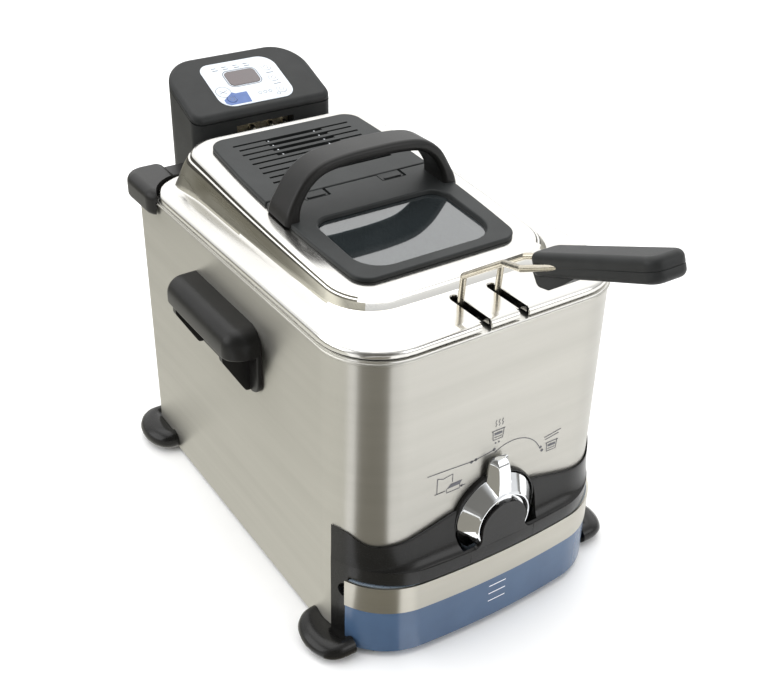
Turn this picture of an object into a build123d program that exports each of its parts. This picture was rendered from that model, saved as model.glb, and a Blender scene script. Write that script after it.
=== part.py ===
from build123d import *
import math
import os

# Deep fryer with an oil box under its bowl. Millimetres, +Z up, +X to the right as seen from the
# front, front towards -Y. Sizes below are taken about the middle of the housing; every part is
# moved by FOOTPRINT_SHIFT when it is saved, so that the origin is the centre of the footprint.

# ---- driving dimensions ---------------------------------------------------------------------
FOOTPRINT_SHIFT = 36.6

# steel housing
HALF = 118.7                # half of the housing's width
FRONT, REAR = -175.0, 175.0
SHEET = 1.0                 # sheet thickness
R_FRONT, R_REAR = 46.0, 10.0
CAP_OUT, CAP_LOW = 125.5, 242.0         # black cap over each rear corner
HOUSING_LOW, HOUSING_TOP = 8.0, 252.0
BAY_REAR, BAY_TOP = -142.0, 88.0        # corner of the housing's cut-out for the trim
COLLAR_TOP = 254.4
INNER_FRONT = -127.0        # front of the fittings inside the housing, behind its rounded corners

# bowl
BOWL_FLOOR = 114.0
BOWL_WALL = 1.2
BOWL_HALF, BOWL_FRONT, BOWL_REAR = 108.0, -163.0, 143.0
BOWL_R_FRONT, BOWL_R_REAR = 36.0, 28.0
RIM_TOP = COLLAR_TOP + 1.2
DRAIN_Y = -57.0

# lid
LID_HALF, LID_FRONT, LID_REAR = 118.5, -174.0, 153.0
LID_TOP = 262.5             # top of the flat flange
SLOPE = 0.0893              # rise of the raised part per millimetre towards the rear
SLOPE_Z = 280.2             # height of the raised part's top at y = 0
PANEL_THICK = 3.2
PANEL_FRONT, PANEL_SEAM, PANEL_REAR = -103.0, 22.5, 132.0
PANEL_HALF, PANEL_BOW = 69.0, 5.5
CATCH_X = 35.0              # the vent cover's two catches
SLOT_X, SLOT_REAR = 16.0, -136.0        # slots for the basket's handle

# knob and drain valve
KNOB_Z = 97.0
KNOB_R = 27.0
SHAFT_R = 4.0
PLUG_R = 8.0
DRAIN_TURN = 55.0           # turn of the knob at which the valve's port stands upright

# oil box
BOX_HALF = 100.0
BOX_LOW, BOX_TOP = 6.0, 66.0
FRONT_SIDE, FRONT_CENTRE = -181.6, -192.0   # bowed front: at the corners and in the middle
BAND_LOW, BAND_HIGH = 44.5, 68.0

# front trim
TRIM_HALF, TRIM_R = 121.2, 58.0
LIP_LOW, LIP_TOP, TRIM_TOP = 71.0, 81.0, 106.0
PILLAR_FRONT = -155.0        # where each pillar ends and the oil box's front begins
TRIM_WALL = 9.0

# control unit
CASE_HALF, CASE_FRONT, CASE_REAR = 67.5, 160.0, 232.0
CASE_LOW, CASE_BACK_LOW = 262.3, 235.0
TOP_FRONT_Z = 304.0
TOP_TILT = 0.408
COVER_DEPTH = 6.0
CASE_WALL = 2.5
TUBE_R = 3.2
TUBE_X = 9.0

# basket
BASKET_HALF, BASKET_FRONT, BASKET_REAR = 86.0, -130.0, 118.0
BASKET_LOW, BASKET_TOP = 141.0, 236.0
WIRE_R = 2.3
GRIP_TILT = 22.5
GRIP_START = (0, -204.0, 317.0)
GRIP_LENGTH, GRIP_HALF = 108.0, 14.0

# side handles and feet
HANDLE_LOW, HANDLE_TOP = 166.0, 222.0
HANDLE_FRONT, HANDLE_REAR = -48.0, 66.0
HANDLE_OUT = 145.0
FOOT_OUT = 141.0
HANDLE_SCREW_Y = (HANDLE_FRONT + 14, HANDLE_REAR - 14)
HANDLE_SCREW_Z = HANDLE_TOP - 10

# keys, display and fittings of the control unit, on its sloping top or in plan
KEY_R = 4.2
KEYS = {"power": (25.0, 17.0), "timer": (25.0, 33.0), "raise": (25.0, 48.0), "set": (-24.0, 16.0)}
KEY_TOP = 1.0
OVERLAY = 0.5
OVERLAY_HALF, OVERLAY_LOW, OVERLAY_HIGH = 36.0, 7.0, 64.0
DISPLAY = (-2.0, 41.0, 30.0, 19.0)      # centre x, centre y, width, depth on the sloping top
INLET_X = 14.0
CASE_SCREWS = ((-45, 190), (45, 190), (-30, 220))

GRIP_SCREWS = (58.0, 92.0)      # along the grip
BACK = -80.0                # where the trim's working outline ends, well behind the trim
FOOT_Y = {"front": -138.0, "rear": 156.0}

SLOPE_PLANE = Plane(origin=(0, 0, SLOPE_Z), x_dir=(1, 0, 0), z_dir=(0, -SLOPE, 1))
TOP_PLANE = Plane(origin=(0, CASE_FRONT, TOP_FRONT_Z), x_dir=(1, 0, 0), z_dir=(0, -TOP_TILT, 1))
TILT = math.radians(GRIP_TILT)
GRIP_PLANE = Plane(origin=GRIP_START, x_dir=(1, 0, 0), z_dir=(0, math.sin(TILT), math.cos(TILT)))


# ---- helpers --------------------------------------------------------------------------------
def outline(half, front, rear, r_front, r_rear):
    """Plan outline with its own corner radius at the front and at the rear."""
    face = make_face(Polyline((-half, front), (half, front), (half, rear), (-half, rear), close=True))
    face = fillet(face.vertices().filter_by_position(Axis.Y, front - 0.1, front + 0.1), r_front)
    return fillet(face.vertices().filter_by_position(Axis.Y, rear - 0.1, rear + 0.1), r_rear)


def bowed(half, side, centre, back, corner):
    """Plan outline whose front bows forward from `side` at its corners to `centre`."""
    arc = ThreePointArc((-half, side), (0, centre), (half, side))
    face = make_face([arc, Polyline((half, side), (half, back), (-half, back), (-half, side))])
    return fillet(face.vertices().filter_by_position(Axis.Y, side - 0.1, side + 0.1), corner)


def barrel(front, rear, rounded_end, corner):
    """Stretch of the lid's plastic panel, whose sides bow outwards over its whole length. The end at
    y = rounded_end is the panel's own end, with rounded corners."""
    def edge(y):
        middle = (PANEL_FRONT + PANEL_REAR) / 2
        reach = (PANEL_REAR - PANEL_FRONT) / 2
        return PANEL_HALF + PANEL_BOW * (1 - ((y - middle) / reach) ** 2)
    mid = (front + rear) / 2
    face = make_face([
        Line((-edge(front), front), (edge(front), front)),
        ThreePointArc((edge(front), front), (edge(mid), mid), (edge(rear), rear)),
        Line((edge(rear), rear), (-edge(rear), rear)),
        ThreePointArc((-edge(rear), rear), (-edge(mid), mid), (-edge(front), front)),
    ])
    corners = face.vertices().filter_by_position(Axis.Y, rounded_end - 0.1, rounded_end + 0.1)
    return fillet(corners, corner)


def prism(face, low, high):
    """An outline carried straight up from one height to another."""
    return Pos(0, 0, low) * extrude(face, high - low)


def block(x0, x1, y0, y1, z0, z1):
    return Pos((x0 + x1) / 2, (y0 + y1) / 2, (z0 + z1) / 2) * Box(x1 - x0, y1 - y0, z1 - z0)


def rod(radius, start, end):
    """A straight round bar between two points."""
    run = Vector(*end) - Vector(*start)
    bar = Cylinder(radius, run.length, align=(Align.CENTER, Align.CENTER, Align.MIN))
    return Plane(origin=start, z_dir=run) * bar


def bent_rod(radius, bend, *points):
    """A round bar along straight runs joined by arcs."""
    path = FilletPolyline(*points, radius=bend)
    return sweep(Plane(origin=path @ 0, z_dir=path % 0) * Circle(radius), path=path)


def half_space(plane, offset, side):
    """Everything above (side 1) or below (side -1) a plane moved by `offset` along its normal."""
    return plane * Pos(0, 0, offset + side * 250) * Box(900, 900, 500)


def mirrored(part):
    return mirror(part, about=Plane.YZ)


def on_slope(part):
    return SLOPE_PLANE * part


def on_top(part):
    return TOP_PLANE * part


def edges_on(part, plane, offset=0.0):
    """Edges that lie wholly in a plane moved by `offset` along its normal."""
    def level(point):
        return abs(plane.to_local_coords(Vector(*point)).Z - offset) < 0.01
    return [e for e in part.edges() if level(tuple(e @ 0)) and level(tuple(e @ 0.5)) and level(tuple(e @ 1))]


def group(parts):
    """Separate solids that share one node."""
    return Compound([part.solid() for part in parts])


def screw(radius, head_radius, start, end, head=2.0):
    """Shank from `start` to `end` with a flat head behind its start."""
    run = (Vector(*end) - Vector(*start)).normalized()
    head_start = Vector(*start) - run * head
    return rod(radius, start, end) + rod(head_radius, tuple(head_start), start)


# ---- housing --------------------------------------------------------------------------------
def outer_housing():
    shell = prism(outline(HALF, FRONT, REAR, R_FRONT, R_REAR), HOUSING_LOW, HOUSING_TOP)
    shell -= prism(outline(HALF - SHEET, FRONT + SHEET, REAR - SHEET, R_FRONT - SHEET, R_REAR - SHEET),
                   HOUSING_LOW - 1, HOUSING_TOP + 1)
    shell -= block(-200, 200, -200, BAY_REAR, 0, BAY_TOP)
    shell -= rod(6.1, (0, -190, KNOB_Z), (0, -160, KNOB_Z))
    for y in HANDLE_SCREW_Y:
        shell -= rod(2.1, (-130, y, HANDLE_SCREW_Z), (130, y, HANDLE_SCREW_Z))
    return shell


def housing_collar():
    ring = prism(outline(HALF + 1.3, FRONT - 1.5, REAR + 1.5, R_FRONT + 1.5, R_REAR + 1.0),
                 HOUSING_TOP, COLLAR_TOP)
    skirt = prism(outline(HALF - 1.2, FRONT + 1.2, REAR - 1.2, R_FRONT - 1.2, R_REAR - 1.2),
                  HOUSING_TOP - 6, HOUSING_TOP)
    skirt -= prism(outline(HALF - 2.4, FRONT + 2.4, REAR - 2.4, R_FRONT - 2.4, R_REAR - 2.4),
                   HOUSING_TOP - 7, HOUSING_TOP + 1)
    mouth = prism(outline(BOWL_HALF + 3, BOWL_FRONT - 3, BOWL_REAR + 5, BOWL_R_FRONT, BOWL_R_REAR),
                  HOUSING_TOP - 1, COLLAR_TOP + 1)
    return ring - mouth + skirt - block(-41, 41, 161.5, 171.8, HOUSING_TOP - 8, COLLAR_TOP + 1)


def rear_guide():
    """Black bridge across the rear of the rim, with a cap over each corner and a pocket for the
    control unit's tongue."""
    top = LID_TOP
    cap = block(86, CAP_OUT, 124, 190, CAP_LOW, top)
    cap = fillet(cap.edges().filter_by(Axis.Z), 12)
    cap = fillet(edges_on(cap, Plane.XY, top), 5)
    bridge = block(-90, 90, 157, REAR + 2, COLLAR_TOP, top - 0.5)
    part = bridge + cap + mirrored(cap)
    part -= prism(outline(HALF + 1.5, FRONT - 2, REAR + 1.7, R_FRONT + 1.7, R_REAR + 1.2), 0, COLLAR_TOP)
    part -= prism(outline(HALF + 1.5, FRONT - 2, LID_REAR + 2.5, R_FRONT + 1, 37), COLLAR_TOP - 1, top + 9)
    return part - block(-41, 41, 161.5, 171.8, 200, 300)


def base_tray():
    """Floor of the housing with a raised edge, and the two rails that the oil box runs between."""
    tray = prism(outline(HALF - 1.3, INNER_FRONT, REAR - 1.3, 2, R_REAR - 1.3), 3, 16)
    tray -= block(-HALF + 5, HALF - 5, -300, REAR - 4, 5, 30)
    rails = block(BOX_HALF + 0.7, HALF - 4, INNER_FRONT, REAR - 40, 4.9, 24)
    tongue = block(-BOX_HALF, BOX_HALF, -172, INNER_FRONT + 1, 3, 5)
    return tray + rails + mirrored(rails) + tongue - base_screw_holes()


def heat_shield():
    """Sheet between the bowl and the oil box, with a hole under the drain and a flange each side."""
    sheet = block(-HALF + 1.6, HALF - 1.6, INNER_FRONT, REAR - 32, 73.5, 75)
    flange = block(HALF - 2.8, HALF - 1.6, INNER_FRONT, REAR - 32, 62, 75)
    return sheet + flange + mirrored(flange) - block(-11, 11, DRAIN_Y - 11, DRAIN_Y + 11, 60, 90)


def foot(side, end):
    """Moulded foot that wraps the lower corner of the housing."""
    y = FOOT_Y[end]
    bulb = block(96, FOOT_OUT, y - 25, y + 25, 1.5, 18)
    bulb = fillet(bulb.edges().filter_by(Axis.Z), 14)
    bulb = fillet(edges_on(bulb, Plane.XY, 18), 9)
    hollow = block(0, HALF + 2.2, -300, 300, 3, 90)
    part = bulb - hollow - base_screw_holes()
    return part if side == "right" else mirrored(part)


def foot_places(x):
    return [(sx * x, y) for sx in (-1, 1) for y in FOOT_Y.values()]


def base_screw_holes():
    return [rod(1.5, (x, y, 0), (x, y, 6)) for x, y in foot_places(104)]


def foot_pads():
    return group([rod(9, (x, y, 0), (x, y, 1.5)) for x, y in foot_places(120)])


def base_screws():
    """Screws through the feet into the tray."""
    return group([screw(1.5, 2.6, (x, y, 1.5), (x, y, 5), 1.1) for x, y in foot_places(104)])


# ---- front trim -----------------------------------------------------------------------------
def trim_outline(inset):
    return bowed(TRIM_HALF - inset, FRONT_SIDE + inset, FRONT_CENTRE + inset, BACK, TRIM_R - inset)


def front_trim():
    """Black bowed front: a pillar at each corner, a lip over the oil box and a hood over the knob."""
    lip = prism(trim_outline(0), LIP_LOW, LIP_TOP)
    pillars = prism(trim_outline(0), 3.2, LIP_LOW) - block(-200, 200, -300, PILLAR_FRONT, 0, 300)
    low = Pos(0, 0, LIP_TOP) * trim_outline(3)
    high = Pos(0, 0, TRIM_TOP) * bowed(HALF + 0.9, FRONT - 1.2, FRONT - 2.4, BACK, 47)
    part = lip + loft([low.face(), high.face()]) + pillars
    part -= block(-200, 200, BAY_REAR, 0, 0, 200)
    part -= prism(outline(HALF + 0.25, FRONT - 0.25, REAR, R_FRONT, R_REAR), BAY_TOP - 0.3, 140)
    part -= prism(trim_outline(TRIM_WALL), 0, BAY_TOP)
    for sx in (-1, 1):
        part -= rod(7, (sx * 140, PILLAR_FRONT, 56), (sx * 95, PILLAR_FRONT, 56))
    hood = block(-20, 20, FRONT_CENTRE - 0.5, FRONT_CENTRE + 3, LIP_LOW + 1, KNOB_Z - 2)
    hood += rod(20, (0, FRONT_CENTRE - 0.5, KNOB_Z - 2), (0, FRONT_CENTRE + 3, KNOB_Z - 2))
    return part - rod(37, (0, FRONT_CENTRE + 3, KNOB_Z), (0, -150, KNOB_Z)) + hood


def knob_bezel():
    ring = rod(36.5, (0, FRONT - 2.8, KNOB_Z), (0, FRONT - 0.2, KNOB_Z))
    ring -= rod(6.2, (0, -190, KNOB_Z), (0, -170, KNOB_Z))
    return ring - block(-50, 50, -200, -150, 0, LIP_LOW + 0.5)


def shaft_bush():
    """Flanged bush that carries the selector's shaft in the front wall."""
    bush = rod(6.0, (0, FRONT - 2.4, KNOB_Z), (0, FRONT + 8, KNOB_Z))
    bush += rod(9.0, (0, FRONT + SHEET, KNOB_Z), (0, FRONT + 3, KNOB_Z))
    return bush - rod(SHAFT_R + 0.05, (0, -190, KNOB_Z), (0, -150, KNOB_Z))


def selector_knob():
    disc = rod(KNOB_R, (0, -187.8, KNOB_Z), (0, FRONT - 3.2, KNOB_Z))
    disc = chamfer(disc.edges().sort_by(Axis.Y)[:1], 1.5)
    profile = Polyline((-16, KNOB_Z - 4), (16, KNOB_Z - 4), (6.5, KNOB_Z + 55), (-6.5, KNOB_Z + 55), close=True)
    pointer = extrude(Plane.XZ * make_face(profile), 9.6)
    pointer = chamfer(pointer.edges().group_by(Axis.Y)[0], 3.0)
    part = disc + Pos(0, FRONT - 3.2, 0) * pointer
    return part - rod(SHAFT_R, (0, -185, KNOB_Z), (0, -150, KNOB_Z))


def selector_shaft():
    """Rod from the knob to the drain valve, ending in an upright blade."""
    shaft = rod(SHAFT_R, (0, -185, KNOB_Z), (0, DRAIN_Y - 21, KNOB_Z))
    return shaft + block(-1.2, 1.2, DRAIN_Y - 21.5, DRAIN_Y - 14, KNOB_Z - 6, KNOB_Z + 6)


# ---- side handles ---------------------------------------------------------------------------
def side_handle(side):
    """Scooped carrying handle, open underneath for the fingers."""
    wall = HALF + 0.05
    profile = make_face(Polyline((wall, HANDLE_TOP), (HANDLE_OUT - 6, HANDLE_TOP - 3), (HANDLE_OUT, HANDLE_TOP - 18),
                                 (HANDLE_OUT - 7, HANDLE_LOW), (wall, HANDLE_LOW + 6), close=True))
    grip = extrude(Plane.XZ * profile, HANDLE_REAR - HANDLE_FRONT)
    grip = Pos(0, HANDLE_REAR, 0) * grip
    grip = fillet(grip.edges().filter_by(Axis.Y).sort_by(Axis.Z)[-2:], 6)
    scoop = block(wall + 3, HANDLE_OUT - 9, HANDLE_FRONT + 5, HANDLE_REAR - 5, HANDLE_LOW - 5, HANDLE_TOP - 16)
    part = grip - scoop
    for y in HANDLE_SCREW_Y:
        part -= rod(1.5, (wall - 1, y, HANDLE_SCREW_Z), (wall + 9, y, HANDLE_SCREW_Z))
    return part if side == "right" else mirrored(part)


def handle_screws():
    inner = HALF - SHEET
    return group([screw(1.5, 3.5, (sx * inner, y, HANDLE_SCREW_Z), (sx * (inner + 9.5), y, HANDLE_SCREW_Z))
                  for sx in (-1, 1) for y in HANDLE_SCREW_Y])


# ---- bowl and drain -------------------------------------------------------------------------
def oil_bowl():
    body = prism(outline(BOWL_HALF, BOWL_FRONT, BOWL_REAR, BOWL_R_FRONT, BOWL_R_REAR), BOWL_FLOOR, RIM_TOP)
    body = fillet(edges_on(body, Plane.XY, BOWL_FLOOR), 12)
    flange = prism(outline(HALF + 0.5, FRONT - 0.6, LID_REAR + 1.5, R_FRONT + 0.7, 36), COLLAR_TOP, RIM_TOP)
    w = BOWL_WALL
    inside = prism(outline(BOWL_HALF - w, BOWL_FRONT + w, BOWL_REAR - w, BOWL_R_FRONT - w, BOWL_R_REAR - w),
                   BOWL_FLOOR + w, RIM_TOP + 10)
    inside = fillet(edges_on(inside, Plane.XY, BOWL_FLOOR + w), 12 - w)
    return body + flange - inside - rod(5, (0, DRAIN_Y, 100), (0, DRAIN_Y, 130))


def valve_gasket():
    ring = rod(11, (0, DRAIN_Y, BOWL_FLOOR - 1.5), (0, DRAIN_Y, BOWL_FLOOR))
    return ring - rod(5, (0, DRAIN_Y, 90), (0, DRAIN_Y, 130))


def valve_body():
    body = block(-13, 13, DRAIN_Y - 13, DRAIN_Y + 13, 84, BOWL_FLOOR - 1.5)
    body = fillet(body.edges().filter_by(Axis.Z), 4)
    body += rod(7, (0, DRAIN_Y, 77), (0, DRAIN_Y, 85))
    body -= rod(3.5, (0, DRAIN_Y, 60), (0, DRAIN_Y, 130))
    return body - rod(PLUG_R + 0.05, (0, DRAIN_Y - 20, KNOB_Z), (0, DRAIN_Y + 20, KNOB_Z))


def valve_plug():
    """Round plug with a cross port, turned by the selector's blade in its slotted end."""
    plug = rod(PLUG_R, (0, DRAIN_Y - 21, KNOB_Z), (0, DRAIN_Y + 13, KNOB_Z))
    plug -= block(-1.4, 1.4, DRAIN_Y - 23, DRAIN_Y - 13.6, KNOB_Z - 12, KNOB_Z + 12)
    plug -= rod(SHAFT_R + 0.4, (0, DRAIN_Y - 22, KNOB_Z), (0, DRAIN_Y - 20.4, KNOB_Z))
    reach = 12
    lean = math.radians(DRAIN_TURN)
    across = (reach * math.sin(lean), reach * math.cos(lean))
    return plug - rod(3.5, (across[0], DRAIN_Y, KNOB_Z - across[1]), (-across[0], DRAIN_Y, KNOB_Z + across[1]))


def bowl_strainer():
    """Domed strainer over the drain hole."""
    disc = rod(16, (0, DRAIN_Y, BOWL_FLOOR + BOWL_WALL), (0, DRAIN_Y, BOWL_FLOOR + BOWL_WALL + 4))
    disc = fillet(edges_on(disc, Plane.XY, BOWL_FLOOR + BOWL_WALL + 4), 3)
    disc -= rod(14, (0, DRAIN_Y, BOWL_FLOOR), (0, DRAIN_Y, BOWL_FLOOR + BOWL_WALL + 2.8))
    for step in range(8):
        angle = math.radians(45 * step)
        x, y = 9 * math.cos(angle), DRAIN_Y + 9 * math.sin(angle)
        disc -= rod(1.4, (x, y, BOWL_FLOOR), (x, y, BOWL_FLOOR + 9))
    return disc


# ---- oil box --------------------------------------------------------------------------------
def box_front(inset):
    """The flared front of the oil box, which follows the trim's outline between the pillars."""
    rear = PILLAR_FRONT - 0.8 - inset
    behind = Pos(0, rear + 100) * Rectangle(400, 200)
    return trim_outline(0.8 + inset) - behind


def box_plan(inset):
    body = outline(BOX_HALF - inset, PILLAR_FRONT - 10, 150 - inset, 0.5, 12)
    return body + box_front(inset)


def oil_box():
    shell = prism(box_plan(0), BOX_LOW, BOX_TOP) - prism(box_plan(2), BOX_LOW + 2, BOX_TOP + 1)
    return shell - prism(box_front(0) - trim_outline(2.0), BAND_LOW, BOX_TOP + 1)


def oil_box_lid():
    lid = prism(box_plan(1.3), BOX_TOP, BOX_TOP + 2.5)
    lid += prism(box_plan(2.3), BOX_TOP - 4, BOX_TOP) - prism(box_plan(4), BOX_TOP - 5, BOX_TOP)
    lid += rod(16, (0, DRAIN_Y, BOX_TOP), (0, DRAIN_Y, BOX_TOP + 3.5))
    return lid - rod(12, (0, DRAIN_Y, 40), (0, DRAIN_Y, 90))


def oil_box_band():
    """Steel band across the front of the oil box."""
    return prism(box_front(-0.3) - trim_outline(2.0), BAND_LOW, BAND_HIGH)


# ---- control unit ---------------------------------------------------------------------------
def case_form(inset, low, back_low):
    body = prism(outline(CASE_HALF - inset, CASE_FRONT + inset, CASE_REAR - inset, 8 - inset, 30 - inset), back_low, 345)
    return body - block(-200, 200, 100, 178.8 + inset, 0, low)


def control_case():
    outer = case_form(0, CASE_LOW, CASE_BACK_LOW) - half_space(TOP_PLANE, -COVER_DEPTH - 0.2, 1)
    w = CASE_WALL
    inner = case_form(w, CASE_LOW + w, CASE_BACK_LOW + w)
    recess = block(-28, 28, CASE_FRONT - 1, CASE_FRONT + 12, CASE_LOW - 1, 291.5)
    inner -= block(-30, 30, CASE_FRONT - 1, CASE_FRONT + 14, CASE_LOW - 1, 293.5)
    part = outer - inner - recess
    part += block(-40, 40, 162, 171.4, 240, CASE_LOW)
    for x in (-TUBE_X, TUBE_X, 22):
        part -= rod(3.4, (x, CASE_FRONT + 8, 284), (x, CASE_FRONT + 20, 284))
    for x, y in CASE_SCREWS:
        part -= rod(1.5, (x, y, CASE_BACK_LOW - 1), (x, y, CASE_BACK_LOW + 5))
    return part - block(INLET_X - 12, INLET_X + 12, CASE_REAR - 9, CASE_REAR + 5, 243, 261)


def control_cover():
    """Sloping top of the control unit, with its keys' holes."""
    cap = case_form(0, CASE_LOW, CASE_BACK_LOW) - half_space(TOP_PLANE, 0, 1) - half_space(TOP_PLANE, -COVER_DEPTH, -1)
    cap = fillet(edges_on(cap, TOP_PLANE), 3)
    cap -= case_form(CASE_WALL, CASE_LOW, CASE_BACK_LOW) - half_space(TOP_PLANE, -2.5, 1)
    for x, y in KEYS.values():
        cap -= on_top(Pos(x, y, 0) * Cylinder(KEY_R + 0.3, 20))
    return cap


def plate_on_top(x0, x1, y0, y1, low, high, corner):
    plate = block(x0, x1, y0, y1, low, high)
    return on_top(fillet(plate.edges().filter_by(Axis.Z), corner))


def control_overlay():
    sheet = plate_on_top(-OVERLAY_HALF, OVERLAY_HALF, OVERLAY_LOW, OVERLAY_HIGH, 0, OVERLAY, 10)
    for x, y in KEYS.values():
        sheet -= on_top(Pos(x, y, 0) * Cylinder(KEY_R + 0.3, 20))
    cx, cy, w, d = DISPLAY
    return sheet - plate_on_top(cx - w / 2, cx + w / 2, cy - d / 2, cy + d / 2, -1, 2, 4)


def display_lens():
    cx, cy, w, d = DISPLAY
    return plate_on_top(cx - w / 2, cx + w / 2, cy - d / 2, cy + d / 2, 0, OVERLAY + 0.3, 4)


def key(name):
    """Key cap that stands in its hole in the cover."""
    x, y = KEYS[name]
    cap = Pos(x, y, 0) * Cylinder(KEY_R, 4.5 + KEY_TOP, align=(Align.CENTER, Align.CENTER, Align.MAX))
    cap = Pos(0, 0, KEY_TOP) * cap
    return on_top(fillet(cap.edges().sort_by(Axis.Z)[-1:], 0.4))


def circuit_board():
    board = block(-50, 50, 12, 58, -14, -12.4)
    board += block(-20, 16, 30, 52, -12.4, -8)
    return on_top(board)


def transformer():
    core = block(-42, -8, 192, 216, 240, 266)
    coil = block(-36, -14, 188, 220, 244, 262)
    return core + coil


def power_inlet():
    x = INLET_X
    body = block(x - 11.8, x + 11.8, CASE_REAR - 9, CASE_REAR - 0.2, 243.2, 260.8)
    body -= block(x - 9, x + 9, CASE_REAR - 7, CASE_REAR + 5, 246, 258)
    for dx in (-4, 4):
        body += rod(1.5, (x + dx, CASE_REAR - 8, 252), (x + dx, CASE_REAR - 5, 252))
    return body


def terminal_plate():
    y = CASE_FRONT + 12
    plate = block(-27.5, 27.5, y - 2.2, y, 264, 291)
    for x in (-TUBE_X, TUBE_X):
        plate -= rod(TUBE_R + 0.1, (x, y - 5, 284), (x, y + 5, 284))
    return plate - rod(2.3, (22, y - 5, 284), (22, y + 5, 284))


def heating_element():
    """One tube: down the bowl's rear wall, round its floor in a double loop and up again."""
    y_in, y_out, y_drop, z_top, z_over, z_low = 178, 165, 131, 284, 267.2, 130
    side = [(TUBE_X, y_in, z_top), (TUBE_X, y_out, z_top), (TUBE_X, y_out, z_over), (TUBE_X, y_drop, z_over),
            (TUBE_X, y_drop, z_low), (TUBE_X, 112, z_low), (70, 112, z_low), (70, -112, z_low),
            (32, -112, z_low), (32, 64, z_low)]
    far = [(-x, y, z) for x, y, z in reversed(side)]
    bends = [4.5, 6, 8, 9, 9, 14, 14, 14, 14]
    path = FilletPolyline(*side, *far, radius=bends + bends[::-1])
    return sweep(Plane(origin=path @ 0, z_dir=path % 0) * Circle(TUBE_R), path=path)


def temperature_probe():
    return bent_rod(2.2, 4.5, (22, 178, 284), (22, 165, 284), (22, 165, 267.2), (22, 131, 267.2), (22, 131, 150))


def element_clip():
    clip = block(-15, 27, 126, 136, 196, 202)
    for x in (-TUBE_X, TUBE_X):
        clip -= rod(TUBE_R, (x, 131, 180), (x, 131, 220))
    return clip - rod(2.2, (22, 131, 180), (22, 131, 220))


def case_screws():
    return group([screw(1.5, 3, (x, y, CASE_BACK_LOW), (x, y, CASE_BACK_LOW + CASE_WALL)) for x, y in CASE_SCREWS])


# ---- basket ---------------------------------------------------------------------------------
def basket_mesh():
    """Open-topped cage: thin walls pierced by rows of openings."""
    r = 22
    shell = prism(outline(BASKET_HALF, BASKET_FRONT, BASKET_REAR, r, r), BASKET_LOW, BASKET_TOP)
    shell -= prism(outline(BASKET_HALF - 1.2, BASKET_FRONT + 1.2, BASKET_REAR - 1.2, r - 1.2, r - 1.2),
                   BASKET_LOW + 1.2, BASKET_TOP + 1)
    cut = []
    rows = (152, 172, 192, 212)
    for z in rows:
        for y in range(-100, 101, 20):
            cut.append(block(-120, 120, y, y + 15, z, z + 15))
        for x in range(-60, 50, 20):
            cut.append(block(x, x + 15, -160, 160, z, z + 15))
    for y in range(-110, 101, 20):
        for x in range(-70, 61, 20):
            cut.append(block(x, x + 15, y, y + 15, BASKET_LOW - 2, BASKET_LOW + 5))
    return shell - cut


def basket_rim():
    half, front, rear = BASKET_HALF + 2.4, BASKET_FRONT - 2.4, BASKET_REAR + 2.4
    ring = prism(outline(half, front, rear, 24.4, 24.4), BASKET_TOP - 3, BASKET_TOP + 1.4)
    ring -= prism(outline(half - 2.4, front + 2.4, rear - 2.4, 22, 22), BASKET_TOP - 4, BASKET_TOP + 3)
    return fillet(edges_on(ring, Plane.XY, BASKET_TOP + 1.4), 0.8)


def basket_bracket():
    plate = block(-24, 24, BASKET_FRONT - 5.2, BASKET_FRONT - 2.4, 198, BASKET_TOP + 1)
    plate += block(-24, 24, BASKET_FRONT - 2.4, BASKET_FRONT, 198, 206)
    for x in (-SLOT_X, SLOT_X):
        plate += block(x - 5, x + 5, -143.5, BASKET_FRONT - 5, 202, 212)
        plate -= rod(WIRE_R, (x, -139, 190), (x, -139, 240))
    return plate


def handle_wires():
    def wire(sx):
        def on_axis(along):
            reach, rise = along * math.cos(TILT), along * math.sin(TILT)
            return (sx * 8.5, GRIP_START[1] - reach, GRIP_START[2] + rise)
        return bent_rod(WIRE_R, 9, (sx * SLOT_X, -139, 199), (sx * SLOT_X, -139, 289), (sx * SLOT_X, -178, 305),
                        on_axis(-5), on_axis(46))
    return group([wire(-1), wire(1)])


def grip_channels():
    """Room for the handle's wires, cut from both halves of the grip."""
    return [GRIP_PLANE * rod(WIRE_R + 0.05, (sx * 8.5, 12, 0), (sx * 8.5, -46.2, 0)) for sx in (-1, 1)]


def grip_half(thickness, side):
    """One half of the grip: its seam lies in the plane of the wires."""
    plan = outline(GRIP_HALF, -GRIP_LENGTH, 0, 11, 5)
    part = extrude(plan, side * thickness)
    return fillet(edges_on(part, Plane.XY, side * thickness), thickness * 0.6)


def grip_upper():
    part = GRIP_PLANE * grip_half(8.2, 1)
    for along in GRIP_SCREWS:
        part -= GRIP_PLANE * rod(1.5, (0, -along, -1), (0, -along, 5))
    return part - grip_channels()


def grip_lower():
    heel = make_face(Polyline((0, 0), (0, -14), (-12, -15), (-40, -7), (-40, 0), close=True))
    heel = Pos(-10, 0, 0) * (Plane.YZ * extrude(heel, 20))
    part = grip_half(7.4, -1) + heel
    part = GRIP_PLANE * part
    for along in GRIP_SCREWS:
        part -= GRIP_PLANE * rod(1.5, (0, -along, 1), (0, -along, -20))
        part -= GRIP_PLANE * rod(3.0, (0, -along, -5), (0, -along, -20))
    return part - grip_channels()


def grip_screws():
    return group([GRIP_PLANE * screw(1.5, 2.8, (0, -along, -5), (0, -along, 4.8)) for along in GRIP_SCREWS])


# ---- lid ------------------------------------------------------------------------------------
def handle_slots():
    """The two slots from the basket's wires to the front edge."""
    return [block(sx * SLOT_X - 4.2, sx * SLOT_X + 4.2, -190, SLOT_REAR, 240, 275) for sx in (-1, 1)]


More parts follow.
